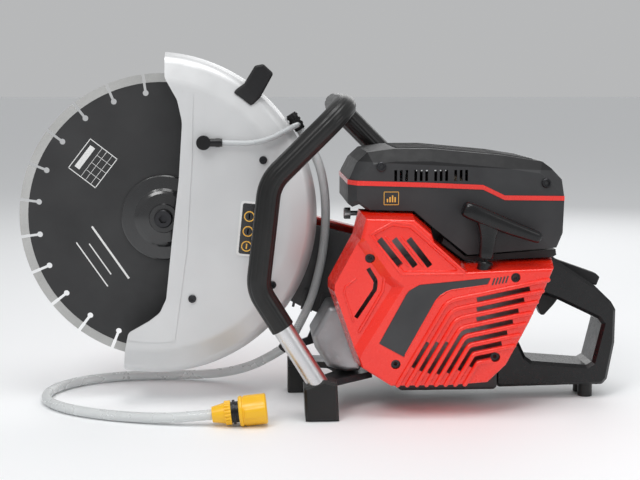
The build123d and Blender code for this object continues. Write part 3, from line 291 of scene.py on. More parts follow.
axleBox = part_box("spindle_shaft")
axle = (axleBox[0] + axleBox[1]) / 2
flangeBlack = makeFlangeFinish({"low": (0.012, 0.012, 0.013), "high": (0.02, 0.02, 0.021),
                                "rough": (0.16, 0.26), "rings": 260, "depth": 0.00003, "coat": 0.6})
bladeBlack = makeFlangeFinish({"low": (0.018, 0.018, 0.019), "high": (0.03, 0.03, 0.031),
                               "rough": (0.42, 0.54), "rings": 180, "depth": 0.00002, "coat": 0.0})
bladeBlack.name = "bladeBlack"


def makeSegmentFinish(values):
    # sintered metal with diamond grit: light and dark specks and a pitted face
    finish = Finish("diamondSegment")
    finish.mould(values["low"], values["high"], values["rough"], 900)
    cells = finish.tree.nodes.new("ShaderNodeTexVoronoi")
    cells.inputs["Scale"].default_value = values["grit"]
    finish.tree.links.new(finish.place, cells.inputs["Vector"])
    specks = addRange(finish.tree, cells.outputs["Distance"], 0.05, 0.3, 1, 0)
    finish.color = addMix(finish.tree, addMath(finish.tree, "MULTIPLY", specks, 0.5), finish.color,
                          values["speck"])
    finish.height = addMath(finish.tree, "ADD", finish.height, specks)
    return finish.finish(values["depth"], metallic=0.35, strength=0.7)


diamondSegment = makeSegmentFinish({"low": (0.4, 0.4, 0.39), "high": (0.52, 0.52, 0.51), "rough": (0.5, 0.7),
                                    "grit": 900, "speck": (0.75, 0.75, 0.73), "depth": 0.00025})


def makeCoverFinish(values):
    # dark satin plastic; above the shoulder line the roof is painted darker as painted shade, and is made
    # rougher
    finish = Finish("coverGrey")
    finish.mould(values["low"], values["high"], values["rough"], values["grain"])
    parts = finish.tree.nodes.new("ShaderNodeSeparateXYZ")
    finish.tree.links.new(finish.place, parts.inputs[0])
    shoulder = addMath(finish.tree, "ADD", parts.outputs["Z"],
                       addMath(finish.tree, "MULTIPLY", parts.outputs["X"], values["fall"]))
    above = addRange(finish.tree, shoulder, values["shoulder"], values["shoulder"] + 0.0006)
    # painted shade: the upturned roof faces above the shoulder line are darkened towards the roof colour
    finish.color = addMix(finish.tree, above, finish.color, values["roof"])
    finish.dust(values["dust"])
    finish.rough = addMath(finish.tree, "ADD", finish.rough, addMath(finish.tree, "MULTIPLY", above, 0.1))
    return finish.finish(values["depth"], shine=0.4)


# the roof colour is a painted shade for the roof faces, not a separate darker panel
coverGrey = makeCoverFinish({"low": (0.026, 0.026, 0.028), "high": (0.036, 0.037, 0.039), "rough": (0.4, 0.5),
                             "grain": 1500, "roof": (0.009, 0.009, 0.01), "fall": 0.05, "shoulder": 0.3015,
                             "dust": 0.02, "depth": 0.00012})


def makeHoseFinish(name, values):
    # translucent plastic hose; a braid shows as crossed threads along its own UV map
    finish = Finish(name)
    finish.mould(values["low"], values["high"], values["rough"], 500)
    if values["threads"]:
        threads = []
        for way in (1, -1):
            turned = finish.tree.nodes.new("ShaderNodeMapping")
            turned.inputs["Scale"].default_value = (values["threads"], way * values["around"], 1)
            finish.tree.links.new(finish.coords.outputs["UV"], turned.inputs["Vector"])
            wave = finish.tree.nodes.new("ShaderNodeTexWave")
            wave.bands_direction = "DIAGONAL"
            wave.inputs["Scale"].default_value = 1.0
            finish.tree.links.new(turned.outputs["Vector"], wave.inputs["Vector"])
            threads.append(addRange(finish.tree, wave.outputs["Fac"], 0.55, 0.9))
        braid = addMath(finish.tree, "MAXIMUM", *threads)
        finish.color = addMix(finish.tree, addMath(finish.tree, "MULTIPLY", braid, 0.75), finish.color,
                              values["thread"])
        finish.height = addMath(finish.tree, "ADD", addMath(finish.tree, "MULTIPLY", finish.height, 0.3),
                                braid)
    finish.shader.inputs["Transmission Weight"].default_value = values["clear"]
    finish.shader.inputs["IOR"].default_value = 1.4
    return finish.finish(values["depth"])


clearHose = makeHoseFinish("clearHose", {"low": (0.74, 0.76, 0.76), "high": (0.84, 0.86, 0.86),
                                         "rough": (0.24, 0.34), "threads": 0, "clear": 0.3, "depth": 0.0002})
braidHose = makeHoseFinish("braidHose", {"low": (0.42, 0.44, 0.45), "high": (0.55, 0.57, 0.58),
                                         "rough": (0.3, 0.4), "threads": 90, "around": 5, "clear": 0.1,
                                         "thread": (0.85, 0.86, 0.86), "depth": 0.0004})
branchHose = makeHoseFinish("branchHose", {"low": (0.5, 0.52, 0.53), "high": (0.66, 0.68, 0.69),
                                           "rough": (0.24, 0.34), "threads": 0, "clear": 0.25,
                                           "depth": 0.0002})

finishNodes = [
    (bladeBlack, ["blade_core"]),
    (diamondSegment, ["blade_segments"]),
    (flangeBlack, ["outer_flange"]),
    (turnedSteel, ["inner_flange", "arbor_bush", "spindle_shaft", "spindle_pulley", "clutch_drum",
                   "bearings", "wrist_pin", "connecting_rod", "crankshaft", "spark_plug",
                   "decompression_button"]),
    (blackSteel, ["blade_bolt", "clutch_shoes", "recoil_spring", "hose_union", "guard_screws", "arm_bolts",
                  "cover_screws", "base_frame"]),
    (castMetal, ["piston", "muffler", "crankcase", "cylinder", "flywheel", "carburettor"]),
    (armPaint, ["cutting_arm"]),
    (guardPaint, ["guard_shell", "guard_back"]),
    (grainBlack, ["guard_grip", "clutch_cover", "filter_base", "throttle_trigger", "throttle_lockout",
                  "choke_knob", "fuel_cap"]),
    (redShell, ["belt_cover", "starter_cover"]),
    (coverGrey, ["top_cover"]),
    (handleBlack, ["rear_handle", "starter_handle", "rope_bush", "water_elbows", "water_tee",
                   "coupling_collar"]),
    (stripeRed, ["stop_switch"]),
    (tankPlastic, ["starter_reel", "fuel_tank"]),
    (rubberBlack, ["rubber_feet"]),
    (tubeMetal, ["front_handle_tube"]),
    (yellowShell, ["coupling_nut"]),
    (beltRubber, ["drive_belt"]),
    (filterPaper, ["air_filter"]),
]
for finish, names in finishNodes:
    for name in names:
        for materialSlot in nodes[name].material_slots:
            materialSlot.material = finish
print("finishes on", sum(len(names) for finish, names in finishNodes), "nodes")


# helpers for the new pieces

def linkNew(name, data):
    item = bpy.data.objects.new(name, data)
    bpy.context.scene.collection.objects.link(item)
    return item


def addPiece(name, shape, material, body, smoothAngle=35):
    # shape is a mesh, or a bmesh that becomes one
    mesh = meshFrom(shape, name) if isinstance(shape, bmesh.types.BMesh) else shape
    piece = linkNew(name, mesh)
    mesh.materials.clear()
    mesh.materials.append(material)
    mesh.shade_smooth()
    mesh.set_sharp_from_angle(angle=math.radians(smoothAngle))
    if body:
        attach(piece, body)
    return piece


def meshFrom(bm, name):
    bmesh.ops.recalc_face_normals(bm, faces=bm.faces)
    mesh = bpy.data.meshes.new(name)
    bm.to_mesh(mesh)
    bm.free()
    return mesh


def loft(bm, sections, capped=True):
    # skin over rings of points given in millimetres, one ring after another
    rings = [[bm.verts.new(Vector(point) * mm) for point in section] for section in sections]
    for before, here in zip(rings, rings[1:]):
        for step in range(len(here)):
            after = (step + 1) % len(here)
            bm.faces.new((before[step], before[after], here[after], here[step]))
    if capped:
        bm.faces.new(list(reversed(rings[0])))
        bm.faces.new(rings[-1])


def roundSection(centre, across, up, width, height, power=0.62, steps=28):
    # a ring between an ellipse and a rounded rectangle about the centre
    ring = []
    for step in range(steps):
        turn = 2 * math.pi * step / steps
        side, rise = math.cos(turn), math.sin(turn)
        ring.append(centre + across * (width / 2 * math.copysign(abs(side) ** power, side))
                    + up * (height / 2 * math.copysign(abs(rise) ** power, rise)))
    return ring


def plateFrom(bm, corners, thickness, corner=0.0):
    # a flat plate of the outline, grown by thickness along its own normal
    face = bm.faces.new([bm.verts.new(place) for place in corners])
    if corner:
        rounded = bmesh.ops.bevel(bm, geom=list(face.verts), offset=corner, segments=5, profile=0.5,
                                  affect="VERTICES", material=-1)
        face = max(rounded["faces"] + [f for f in bm.faces if f.is_valid], key=lambda f: f.calc_area())
    bm.normal_update()
    push = face.normal * thickness
    grown = bmesh.ops.extrude_face_region(bm, geom=[face])
    top = [part for part in grown["geom"] if isinstance(part, bmesh.types.BMVert)]
    bmesh.ops.translate(bm, vec=push, verts=top)


def circle(radius, along, steps):
    # a ring of points about the Z axis
    turns = [2 * math.pi * step / steps for step in range(steps)]
    return [(radius * math.cos(turn), radius * math.sin(turn), along) for turn in turns]


def smoothCurve(name, points, radius):
    # a NURBS curve with the points as its control points
    curve = bpy.data.curves.new(name, "CURVE")
    curve.dimensions = "3D"
    spline = curve.splines.new("NURBS")
    spline.points.add(len(points) - 1)
    for control, point in zip(spline.points, points):
        control.co = (*[part * mm for part in point], 1)
    spline.order_u = 3
    spline.use_endpoint_u = True
    spline.resolution_u = 16
    curve.bevel_depth = radius
    curve.bevel_resolution = 6
    curve.use_fill_caps = True
    return curve


def curveMesh(curve):
    holder = linkNew("holder", curve)
    bpy.context.view_layer.update()
    mesh = bpy.data.meshes.new_from_object(holder.evaluated_get(bpy.context.evaluated_depsgraph_get()))
    bpy.data.objects.remove(holder)
    return mesh


# free water hose and its quick coupling

hoseValues = {
    "route": [(-45, 52, 50), (-68, 62, 33), (-100, 76, 17), (-140, 89, 8), (-186, 97, 6), (-236, 98, 6),
              (-284, 86, 6), (-321, 59, 6), (-341, 21, 6), (-339, -20, 6), (-315, -57, 6), (-274, -86, 6),
              (-227, -105, 6), (-186, -117, 7.5), (-157, -123, 10.5), (-131, -125, 13.2)],
    "radius": 6.0, "length": 627.1}


def buildWaterHose(values):
    curve = smoothCurve("waterHose", values["route"], values["radius"] * mm)
    curve.materials.append(clearHose)
    hose = linkNew("waterHose", curve)
    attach(hose, "machine")
    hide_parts("water_hose")
    return hose


# the profile gives radius and distance along the axle, up the outside and down the bore
couplingValues = {"start": (-131, -125, 13.2), "tilt": 6.0, "bodyFrom": 31.0, "steps": 64,
                  "profile": [(11, 0), (16.4, 0), (17.6, 1.2), (17.6, 4), (16.5, 4.6), (16.5, 6.2),
                              (17.6, 6.8), (17.6, 27), (17.6, 30.6), (16.2, 32), (12.2, 32), (11, 30.8),
                              (11, 8), (6, 8)],
                  "pads": 4, "padShare": 0.62, "padDepth": 0.9, "padSpan": (6.5, 28.0), "padReach": 17.1}


def buildCouplingBody(values):
    # a sleeve with a deep bore, finger pads pressed into it and a ring groove
    bm = bmesh.new()
    loft(bm, [circle(radius, along, values["steps"]) for radius, along in values["profile"]])
    halfPad = 180 / values["pads"]
    low, high = values["padSpan"]
    for vert in bm.verts:
        reach = math.hypot(vert.co.x, vert.co.y)
        turn = math.degrees(math.atan2(vert.co.y, vert.co.x)) % (2 * halfPad)
        onPad = abs(turn - halfPad) / halfPad < values["padShare"] and low * mm < vert.co.z < high * mm
        if onPad and reach > values["padReach"] * mm:
            vert.co.xy *= 1 - values["padDepth"] * mm / reach
    tilt = math.radians(values["tilt"])
    way = Vector((math.cos(tilt), 0, math.sin(tilt)))
    turnTo = way.to_track_quat("Z", "Y").to_matrix().to_4x4()
    foot = (Vector(values["start"]) + way * values["bodyFrom"]) * mm
    bmesh.ops.transform(bm, matrix=Matrix.Translation(foot) @ turnTo, verts=bm.verts)
    piece = addPiece("couplingBody", bm, yellowShell, "machine")
    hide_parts("coupling_body")
    return piece


waterHose = buildWaterHose(hoseValues)
couplingBody = buildCouplingBody(couplingValues)
print("water hose and coupling built")


# hoses on the guard

teeAngle = math.radians(32)
tee = Vector((-200 + 203 * math.cos(teeAngle), 0, 233 + 203 * math.sin(teeAngle)))
teeDown = Vector((math.sin(teeAngle), 0, -math.cos(teeAngle)))
supplyValues = {
    "route": [tuple(tee + 7.4 * teeDown), tuple(tee + 29 * teeDown), (-1, 0, 293), (5, 2, 266), (7.5, 5, 238),
              (7, 8, 209), (4, 9, 181), (-2, 9, 152), (-9.5, 12, 124), (-19, 24, 98), (-33, 45, 66)],
    "radius": 5.5, "length": 289.8,
    "near": [(-122, -50.5, 321), (-104, -51.5, 320.5), (-84, -53, 320), (-62, -51, 325), (-44, -43, 334),
             (-31, -32, 340.5), (tee.x, -16, tee.z)],
    "far": [(-122, 32, 321), (-104, 32.5, 320.5), (-84, 33.5, 321), (-62, 34, 326), (-46, 34, 334),
            (-31, 30, 343), (tee.x, 14, tee.z)],
    "branchRadius": 3.3}


def buildSupplyHose(values):
    # the hose hangs from the tee on the guard
    mesh = curveMesh(smoothCurve("supplyHose", values["route"], values["radius"] * mm))
    hose = addPiece("supplyHose", mesh, braidHose, None, smoothAngle=60)
    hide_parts("braided_hose")
    bare = curveMesh(smoothCurve("supplyLine", values["route"], 0))
    path = [tuple(vert.co) for vert in bare.vertices]
    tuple(path[0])
    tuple(path[0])
    tuple(part * mm for part in values["route"][8])
    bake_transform(hose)


def buildBranchTubes(values):
    bm = bmesh.new()
    for side in ("near", "far"):
        bm.from_mesh(curveMesh(smoothCurve("branch", values[side], values["branchRadius"] * mm)))
    mesh = bpy.data.meshes.new("branchHoses")
    bm.to_mesh(mesh)
    bm.free()
    piece = addPiece("branchHoses", mesh, branchHose, "guard", smoothAngle=60)
    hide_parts("branch_tubes")


buildSupplyHose(supplyValues)
buildBranchTubes(supplyValues)
print("hoses on the guard built")


# ribbed sleeve on the front handle

gripValues = {"outer": 14.0, "ribs": 11, "ribDepth": 0.55,
              "corners": [((-77.5, -104, 155), 42), ((-63, -104, 278), 48), ((24, -104, 364), 34),
                          ((24, 104, 364), 34), ((94, 104, 294), 50)],
              "start": (-49.1, -104, 109), "end": (102.2, 104, 264)}


def roundedPath(values):
    # Bezier points of straight runs joined by arcs
    points = [Vector(values["start"])] + [Vector(place) for place, radius in values["corners"]]
    points.append(Vector(values["end"]))
    still = Vector()
    knots = [(points[0], still, still)]
    for before, here, after, (place, radius) in zip(points, points[1:], points[2:], values["corners"]):
        wayIn = (here - before).normalized()
        wayOut = (after - here).normalized()
        turn = wayIn.angle(wayOut)
        reach = radius * math.tan(turn / 2)
        handle = 4 / 3 * math.tan(turn / 4) * radius
        knots.append((here - wayIn * reach, still, wayIn * handle))
        knots.append((here + wayOut * reach, -wayOut * handle, still))
    knots.append((points[-1], still, still))
    return knots


def buildGripSleeve(values):
    profile = bpy.data.curves.new("sleeveProfile", "CURVE")
    profile.dimensions = "2D"
    outline = profile.splines.new("POLY")
    steps = values["ribs"] * 8
    outline.points.add(steps - 1)
    for step, point in enumerate(outline.points):
        turn = 2 * math.pi * step / steps
        dip = values["ribDepth"] * max(0, math.cos(turn * values["ribs"])) ** 3
        reach = (values["outer"] - dip) * mm
        point.co = (reach * math.cos(turn), reach * math.sin(turn), 0, 1)
    outline.use_cyclic_u = True
    shape = linkNew("sleeveProfile", profile)
    curve = bpy.data.curves.new("gripSleeve", "CURVE")
    curve.dimensions = "3D"
    curve.twist_mode = "MINIMUM"
    spline = curve.splines.new("BEZIER")
    knots = roundedPath(values)
    spline.bezier_points.add(len(knots) - 1)
    for bezier, (place, back, ahead) in zip(spline.bezier_points, knots):
        bezier.handle_left_type = bezier.handle_right_type = "FREE"
        bezier.co = place * mm
        bezier.handle_left = (place + back) * mm
        bezier.handle_right = (place + ahead) * mm
    spline.resolution_u = 18
    curve.bevel_mode = "OBJECT"
    curve.bevel_object = shape
    curve.use_fill_caps = True
    mesh = curveMesh(curve)
    bpy.data.objects.remove(shape)
    piece = addPiece("gripSleeve", mesh, rubberBlack, "machine", smoothAngle=75)
    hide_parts("front_handle_grip")


buildGripSleeve(gripValues)
print("grip sleeve built")


# marks on the blade

markValues = {"y": -1.3, "thick": 0.12, "frameLine": 1.0, "gridLine": 0.5, "panelR": 108.0,
              "panelAngle": 142.0, "panelSize": (44, 40), "columns": (-0.25, 0.0, 0.25),
              "columnShift": 9, "columnCut": 19, "rows": (-13, -5, 2), "barInset": 12, "barHeight": 7,
              "lines": [(79, -1.5, 78, 2.45), (94, -2, 46, 1.47), (106, -2, 66, 1.47)], "lineAngle": 214.0}


def addBar(bm, centre, along, across, length, width, y, thick):
    # one flat bar: a plate between four corners, facing -Y
    half, side = along * (length / 2), across * (width / 2)
    corners = [centre - half - side, centre + half - side, centre + half + side, centre - half + side]
    places = [Vector((corner.x, y, corner.y)) * mm for corner in corners]
    normal = (places[1] - places[0]).cross(places[2] - places[1])
    if normal.y > 0:
        places.reverse()
    plateFrom(bm, places, thick * mm)


def radialPair(degrees):
    # unit vectors outwards and along the turn, at an angle about the axle
    angle = math.radians(degrees)
    out = Vector((math.cos(angle), math.sin(angle)))
    return out, Vector((-out.y, out.x))


def buildBladeMarks(values):
    # a framed grid and three lines, in place of the printed label
    bm = bmesh.new()
    hub = Vector((axle.x, axle.z)) / mm
    y, thick, frameLine, gridLine = values["y"], values["thick"], values["frameLine"], values["gridLine"]
    width, height = values["panelSize"]
    out, across = radialPair(values["panelAngle"])
    middle = hub + out * values["panelR"]
    for share in (-0.5, 0.5):
        addBar(bm, middle + across * (width * share), out, across, height + frameLine, frameLine, y, thick)
        addBar(bm, middle + out * (height * share), across, out, width, frameLine, y, thick)
    for share in values["columns"]:
        addBar(bm, middle + across * (width * share) - out * values["columnShift"], out, across,
               height - values["columnCut"], gridLine, y, thick)
    for row in values["rows"]:
        addBar(bm, middle + out * row, across, out, width - frameLine, gridLine, y, thick)
    inset = values["barInset"]
    addBar(bm, middle + out * inset, across, out, width - inset, values["barHeight"], y, thick)
    out, along = radialPair(values["lineAngle"])
    for reach, shift, length, line in values["lines"]:
        addBar(bm, hub + out * reach + along * shift, along, out, length, line, y, thick)
    addPiece("bladeMarks", bm, labelWhite, "blade")


buildBladeMarks(markValues)


# label plate on the guard

plateValues = {"centre": (-78, -45, 217), "size": (44, 66), "lean": 6.0, "border": 2.6, "corner": 4.0,
               "innerCorner": 2.5, "gap": 0.3, "thick": 1.0, "faceThick": 0.3, "markThick": 0.25,
               "ringR": 6.4, "ringX": -10.5, "ringLine": 1.3, "stroke": (1.6, 6.4), "strokeCorner": 0.4,
               "rows": (-21, -3, 15), "bars": (12, 8, 12), "barSteps": (-3.4, 0, 3.4), "barHeight": 1.5,
               "barX": 0.5, "barCorner": 0.3}


def placeOnGuard(bm, values, lift):
    # from the drawing plane on to the guard's side, its top leaning towards the handle
    turn = Matrix.Rotation(math.radians(90), 4, "X")
    lean = Matrix.Rotation(math.radians(values["lean"]), 4, "Y")
    x, y, z = values["centre"]
    place = Matrix.Translation(Vector((x, y - lift, z)) * mm)
    bmesh.ops.transform(bm, matrix=place @ lean @ turn, verts=bm.verts)


def addPanel(bm, centre, size, thickness, corner):
    # a rounded rectangle in the drawing plane, rising by thickness
    x, y = centre
    width, height = size
    corners = [Vector((x + sx * width / 2, y + sy * height / 2, 0)) * mm
               for sx, sy in ((-1, -1), (1, -1), (1, 1), (-1, 1))]
    plateFrom(bm, corners, thickness * mm, corner=corner * mm)


def addRing(bm, centre, radius, line, thickness, steps=40):
    shift = Vector((*centre, 0))
    sections = [circle(reach, rise, steps) for reach, rise in
                ((radius, 0), (radius, thickness), (radius - line, thickness), (radius - line, 0))]
    loft(bm, [[Vector(point) + shift for point in section] for section in sections], capped=False)


def buildGuardLabel(values):
    # a white rim, a black face and a column of ringed marks, each lying on the one before
    width, height = values["size"]
    inset = 2 * values["border"]
    rim = bmesh.new()
    addPanel(rim, (0, 0), (width, height), values["thick"], values["corner"])
    placeOnGuard(rim, values, values["gap"])
    addPiece("guardLabelRim", rim, labelWhite, "guard")
    face = bmesh.new()
    addPanel(face, (0, 0), (width - inset, height - inset), values["faceThick"], values["innerCorner"])
    placeOnGuard(face, values, values["gap"] + values["thick"])
    addPiece("guardLabelFace", face, labelBlack, "guard")
    marks = bmesh.new()
    for row, length in zip(values["rows"], values["bars"]):
        addRing(marks, (values["ringX"], row), values["ringR"], values["ringLine"], values["markThick"])
        addPanel(marks, (values["ringX"], row), values["stroke"], values["markThick"], values["strokeCorner"])
        for step in values["barSteps"]:
            addPanel(marks, (length / 2 + values["barX"], row + step), (length, values["barHeight"]),
                     values["markThick"], values["barCorner"])
    placeOnGuard(marks, values, values["gap"] + values["thick"] + values["faceThick"])
    addPiece("guardLabelMarks", marks, labelGold, "guard")


buildGuardLabel(plateValues)
print("marks and labels built")


# band and bars on the starter cover

bandValues = {"y": -111.1, "thick": 0.8, "corner": 1.4,
              "points": [(62.7, 91), (93.6, 147.8), (96.8, 152.2), (101.5, 155.8), (109, 159.4), (154, 163.4),
                         (191.4, 166.9), (187.5, 158.6), (146, 152.8), (139.5, 150.6), (132.6, 146.2),
                         (127.2, 140.6), (91.6, 74.9)],
              "bars": 5, "barStart": (195.0, 162.7), "barStep": (3.9, 0.6), "barLean": 0.34, "barHeight": 8.6,
              "barWidth": 1.7, "barY": -111.8, "barThick": 0.5}


def buildCoverBand(values):
    bm = bmesh.new()
    corners = [Vector((x, values["y"], z)) * mm for x, z in reversed(values["points"])]
    plateFrom(bm, corners, values["thick"] * mm, corner=values["corner"] * mm)
    addPiece("coverBand", bm, labelGrey, "machine")
    bars = bmesh.new()
    start, step = Vector(values["barStart"]), Vector(values["barStep"])
    lean = Vector((values["barLean"], 1)).normalized()
    across = Vector((lean.y, -lean.x))
    for count in range(values["bars"]):
        addBar(bars, start + step * count, lean, across, values["barHeight"], values["barWidth"],
               values["barY"], values["barThick"])
    addPiece("coverBars", bars, labelGrey, "machine")


buildCoverBand(bandValues)


# raised ribs and ridges on the starter cover

# each row is a straight run up to the right and a leg down to the left
ribValues = {"faceY": -112.3, "radius": 2.9, "first": -0.5, "count": 8, "right": (238, 154),
             "rightStep": (6.4, 12.9), "corner": 144, "cornerStep": 5.2, "slope": 11.5, "lean": 60,
             "beyond": 17.5, "lastBack": 10, "bottom": 41.5, "bend": 24, "bendStep": 3, "bendLeast": 6}
ridgeValues = {"bend": 5, "ridges": [
    (-111.4, 1.0, [(93, 77), (128.3, 141), (133.4, 146.6), (140, 150.8), (146, 153), (188, 158.6)]),
    (-111.2, 1.6, [(50.5, 218.5), (78, 233), (100, 229.5), (161, 174.5), (160, 171.5), (88, 171.5),
                   (50.5, 218.5)]),
    (-109.6, 1.6, [(70, 215), (95.5, 182)]), (-109.6, 1.6, [(87, 215), (112.5, 182)]),
    (-102.9, 2.0, [(60, 186), (69, 166), (67, 151), (40, 104)]),
    (-102.7, 1.5, [(36, 166), (24, 157), (22, 150), (33, 116)])]}


def filletPath(points, radius, most=0.45, steps=6):
    # the corners of the path become short arcs
    path = [points[0]]
    for before, here, after in zip(points, points[1:], points[2:]):
        wayIn, wayOut = (here - before).normalized(), (after - here).normalized()
        reach = min(radius * math.tan(wayIn.angle(wayOut) / 2), most * (here - before).length,
                    most * (after - here).length)
        start, end = here - wayIn * reach, here + wayOut * reach
        for step in range(steps + 1):
            share = step / steps
            path.append(start * (1 - share) ** 2 + here * 2 * share * (1 - share) + end * share ** 2)
    path.append(points[-1])
    return path


def addRidge(bm, points, y, radius, steps=14):
    # a round bead along the path, with domed ends
    path = [Vector((point.x, y, point.y)) for point in points]
    ways = [(after - before).normalized() for before, after in zip([path[0]] + path, path[1:] + [path[-1]])]
    dome = [(0.95, 0.3), (0.7, 0.7), (0, 1)]
    deep = Vector((0, 1, 0))
    sections = []
    for count, (place, way) in enumerate(zip(path, ways)):
        ends = [(0, 1)]
        if count == 0:
            ends = [(-shift, share) for shift, share in dome]
        elif count == len(path) - 1:
            ends = reversed(dome)
        for shift, share in ends:
            sections.append(roundSection(place + way * shift * radius, way.cross(deep), deep,
                                         2 * radius * share, 2 * radius * share, 1, steps))
    loft(bm, sections)


def buildCoverRibs(values, ridges):
    bm = bmesh.new()
    slope, lean = math.tan(math.radians(values["slope"])), math.tan(math.radians(values["lean"]))
    right, rightStep = Vector(values["right"]), Vector(values["rightStep"])
    last = values["count"] - 1
    for count in range(values["count"]):
        row = values["first"] + count
        start = right - rightStep * row
        cornerX = values["corner"] + values["cornerStep"] * row
        corner = Vector((cornerX, start.y - slope * (start.x - cornerX)))
        foot = Vector((corner.x - (corner.y - values["bottom"]) / lean, values["bottom"]))
        beyond = values["beyond"] if count < last else -values["lastBack"]
        bend = max(values["bend"] - values["bendStep"] * count, values["bendLeast"])
        addRidge(bm, filletPath([start + Vector((1, slope)) * beyond, corner, foot], bend), values["faceY"],
                 values["radius"])
    for y, radius, places in ridges["ridges"]:
        addRidge(bm, filletPath([Vector(place) for place in places], ridges["bend"]), y, radius)
    addPiece("coverRibs", bm, redShell, "machine", smoothAngle=50)


buildCoverRibs(ribValues, ridgeValues)


# low beads on the roof of the top cover and a raised panel on its back

roofValues = {"path": [(88, 313.2), (127, 313.2), (213, 305.2), (251, 299)], "bend": 30, "radius": 2.2,
              "rows": (-48, -32, -16, 0, 16, 32, 48), "panel": (0, 235), "panelSize": (112, 30),
              "panelSteps": [(282.6, 0), (284.9, 3), (284.9, 8), (283.9, 10)], "panelShape": 0.3}


def buildRoofBeads(values):
    bm = bmesh.new()
    for row in values["rows"]:
        addRidge(bm, filletPath([Vector(place) for place in values["path"]], values["bend"]), row,
                 values["radius"])
    width, height = values["panelSize"]
    across, up = Vector((0, 1, 0)), Vector((0, 0, 1))
    loft(bm, [roundSection(Vector((x, *values["panel"])), across, up, width - inset, height - inset,
                           values["panelShape"], 48) for x, inset in values["panelSteps"]])
    addPiece("roofBeads", bm, grainBlack, "machine", smoothAngle=40)


buildRoofBeads(roofValues)


# red stripe round the top cover

stripeValues = {"height": 5.5, "lift": 0.7, "sunk": 0.3,
                "side": [(284, 256), (213, 257), (187, 269.5), (120, 272.5)],
                "bevelSide": (39, 275), "bevelNose": (29, 275.8), "halfWidth": 80.0, "bevel": 10.0}


def buildStripe(values):
    # a band with four edges, along the side, round the bevelled nose and back along the far side
    mitre = math.tan(math.radians(22.5))
    half, rise = values["halfWidth"], values["height"] / 2
    sideX, sideZ = values["bevelSide"]
    noseX, noseZ = values["bevelNose"]
    sections = []
    for lift, level in ((-values["sunk"], -rise), (values["lift"], -rise), (values["lift"], rise),
                        (-values["sunk"], rise)):
        near = [(x, -half - lift, z + level) for x, z in values["side"]]
        near.append((sideX - mitre * lift, -half - lift, sideZ + level))
        near.append((noseX - lift, -half + values["bevel"] - mitre * lift, noseZ + level))
        sections.append(near + [(x, -y, z) for x, y, z in reversed(near)])
    bm = bmesh.new()
    loft(bm, list(zip(*sections)))
    addPiece("coverStripe", bm, stripeRed, "machine", smoothAngle=20)


buildStripe(stripeValues)


# badge frame, corner clips, pull handle, inner bulkhead and starter rope

badgeValues = {"centre": (79, 257), "size": (17, 15), "line": 0.7, "y": -80.1, "thick": 0.2, "barWidth": 1.6,
               "barFoot": -4.5, "bars": [(-4.5, 4), (-1.5, 6), (1.5, 8), (4.5, 6)]}


def buildBadge(values):
    bm = bmesh.new()
    middle = Vector(values["centre"])
    width, height = values["size"]
    line, y, thick = values["line"], values["y"], values["thick"]
    right, up = Vector((1, 0)), Vector((0, 1))
    for share in (-0.5, 0.5):
        addBar(bm, middle + right * (width * share), up, right, height, line, y, thick)
        addBar(bm, middle + up * (height * share), right, up, width, line, y, thick)
    for shift, tall in values["bars"]:
        addBar(bm, middle + right * shift + up * (tall / 2 + values["barFoot"]), up, right, tall,
               values["barWidth"], y, thick)
    addPiece("coverBadge", bm, labelGold, "machine")


buildBadge(badgeValues)

clipValues = {"places": [(67, 294), (262, 274)], "wall": 80.0, "sunk": 1.6, "steps": 36,
              "profile": [(5.6, 0), (5.6, 3.4), (4.8, 4.2), (3.7, 4.2), (3.3, 2.8), (2.4, 2.8), (2.2, 1.2)]}


def buildClips(values):
    # a socket screw standing in a round boss at each upper corner of both sides
    boss = bmesh.new()
    loft(boss, [circle(radius, along, values["steps"]) for radius, along in values["profile"]])
    clip = meshFrom(boss, "clip")
    bm = bmesh.new()
    for x, z in values["places"]:
        for side in (-1, 1):
            known = len(bm.verts)
            bm.from_mesh(clip)
            bm.verts.ensure_lookup_table()
            turn = Matrix.Rotation(math.radians(-90 * side), 4, "X")
            place = Matrix.Translation(Vector((x, side * (values["wall"] - values["sunk"]), z)) * mm)
            bmesh.ops.transform(bm, matrix=place @ turn, verts=bm.verts[known:])
    bpy.data.meshes.remove(clip)
    addPiece("coverClips", bm, blackSteel, "machine")


buildClips(clipValues)

pullValues = {"y": -97.5, "depth": 20.5,
              "bar": [((161, 246.5), 13.5, 0.72), ((162.6, 246.2), 17.5, 0.88), ((168, 244), 19.2, 1.0),
                      ((182, 238.2), 19.6, 1.02), ((198, 231.4), 19.2, 1.02), ((216, 224.2), 17.6, 1.0),
                      ((234, 217.6), 15.6, 0.97), ((247, 212.9), 14.0, 0.92), ((250.5, 211.7), 12.2, 0.84),
                      ((252, 211.2), 9.0, 0.66)],
              "barWay": (0.934, -0.357),
              "stem": [((191.5, 229), 30, 0.8), ((190.6, 222), 23.5, 0.76), ((190, 214), 19.2, 0.74),
                       ((189.3, 204), 17.2, 0.74), ((188.6, 195), 16.8, 0.76), ((188.1, 190.6), 17.0, 0.78),
                       ((187.9, 188.6), 15.4, 0.7)],
              "stemWay": (-0.1, -0.995)}


def buildPullHandle(values):
    # a tapered crossbar on a waisted stem, both of rounded section
    deep = Vector((0, 1, 0))
    bm = bmesh.new()
    for part, way in (("bar", "barWay"), ("stem", "stemWay")):
        along = Vector((values[way][0], 0, values[way][1])).normalized()
        up = along.cross(deep)
        loft(bm, [roundSection(Vector((x, values["y"], z)), deep, up, values["depth"] * share, height)
                  for (x, z), height, share in values[part]])
    piece = addPiece("pullHandle", bm, handleBlack, "starter_handle",
                     smoothAngle=48)
    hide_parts("starter_handle")


buildPullHandle(pullValues)

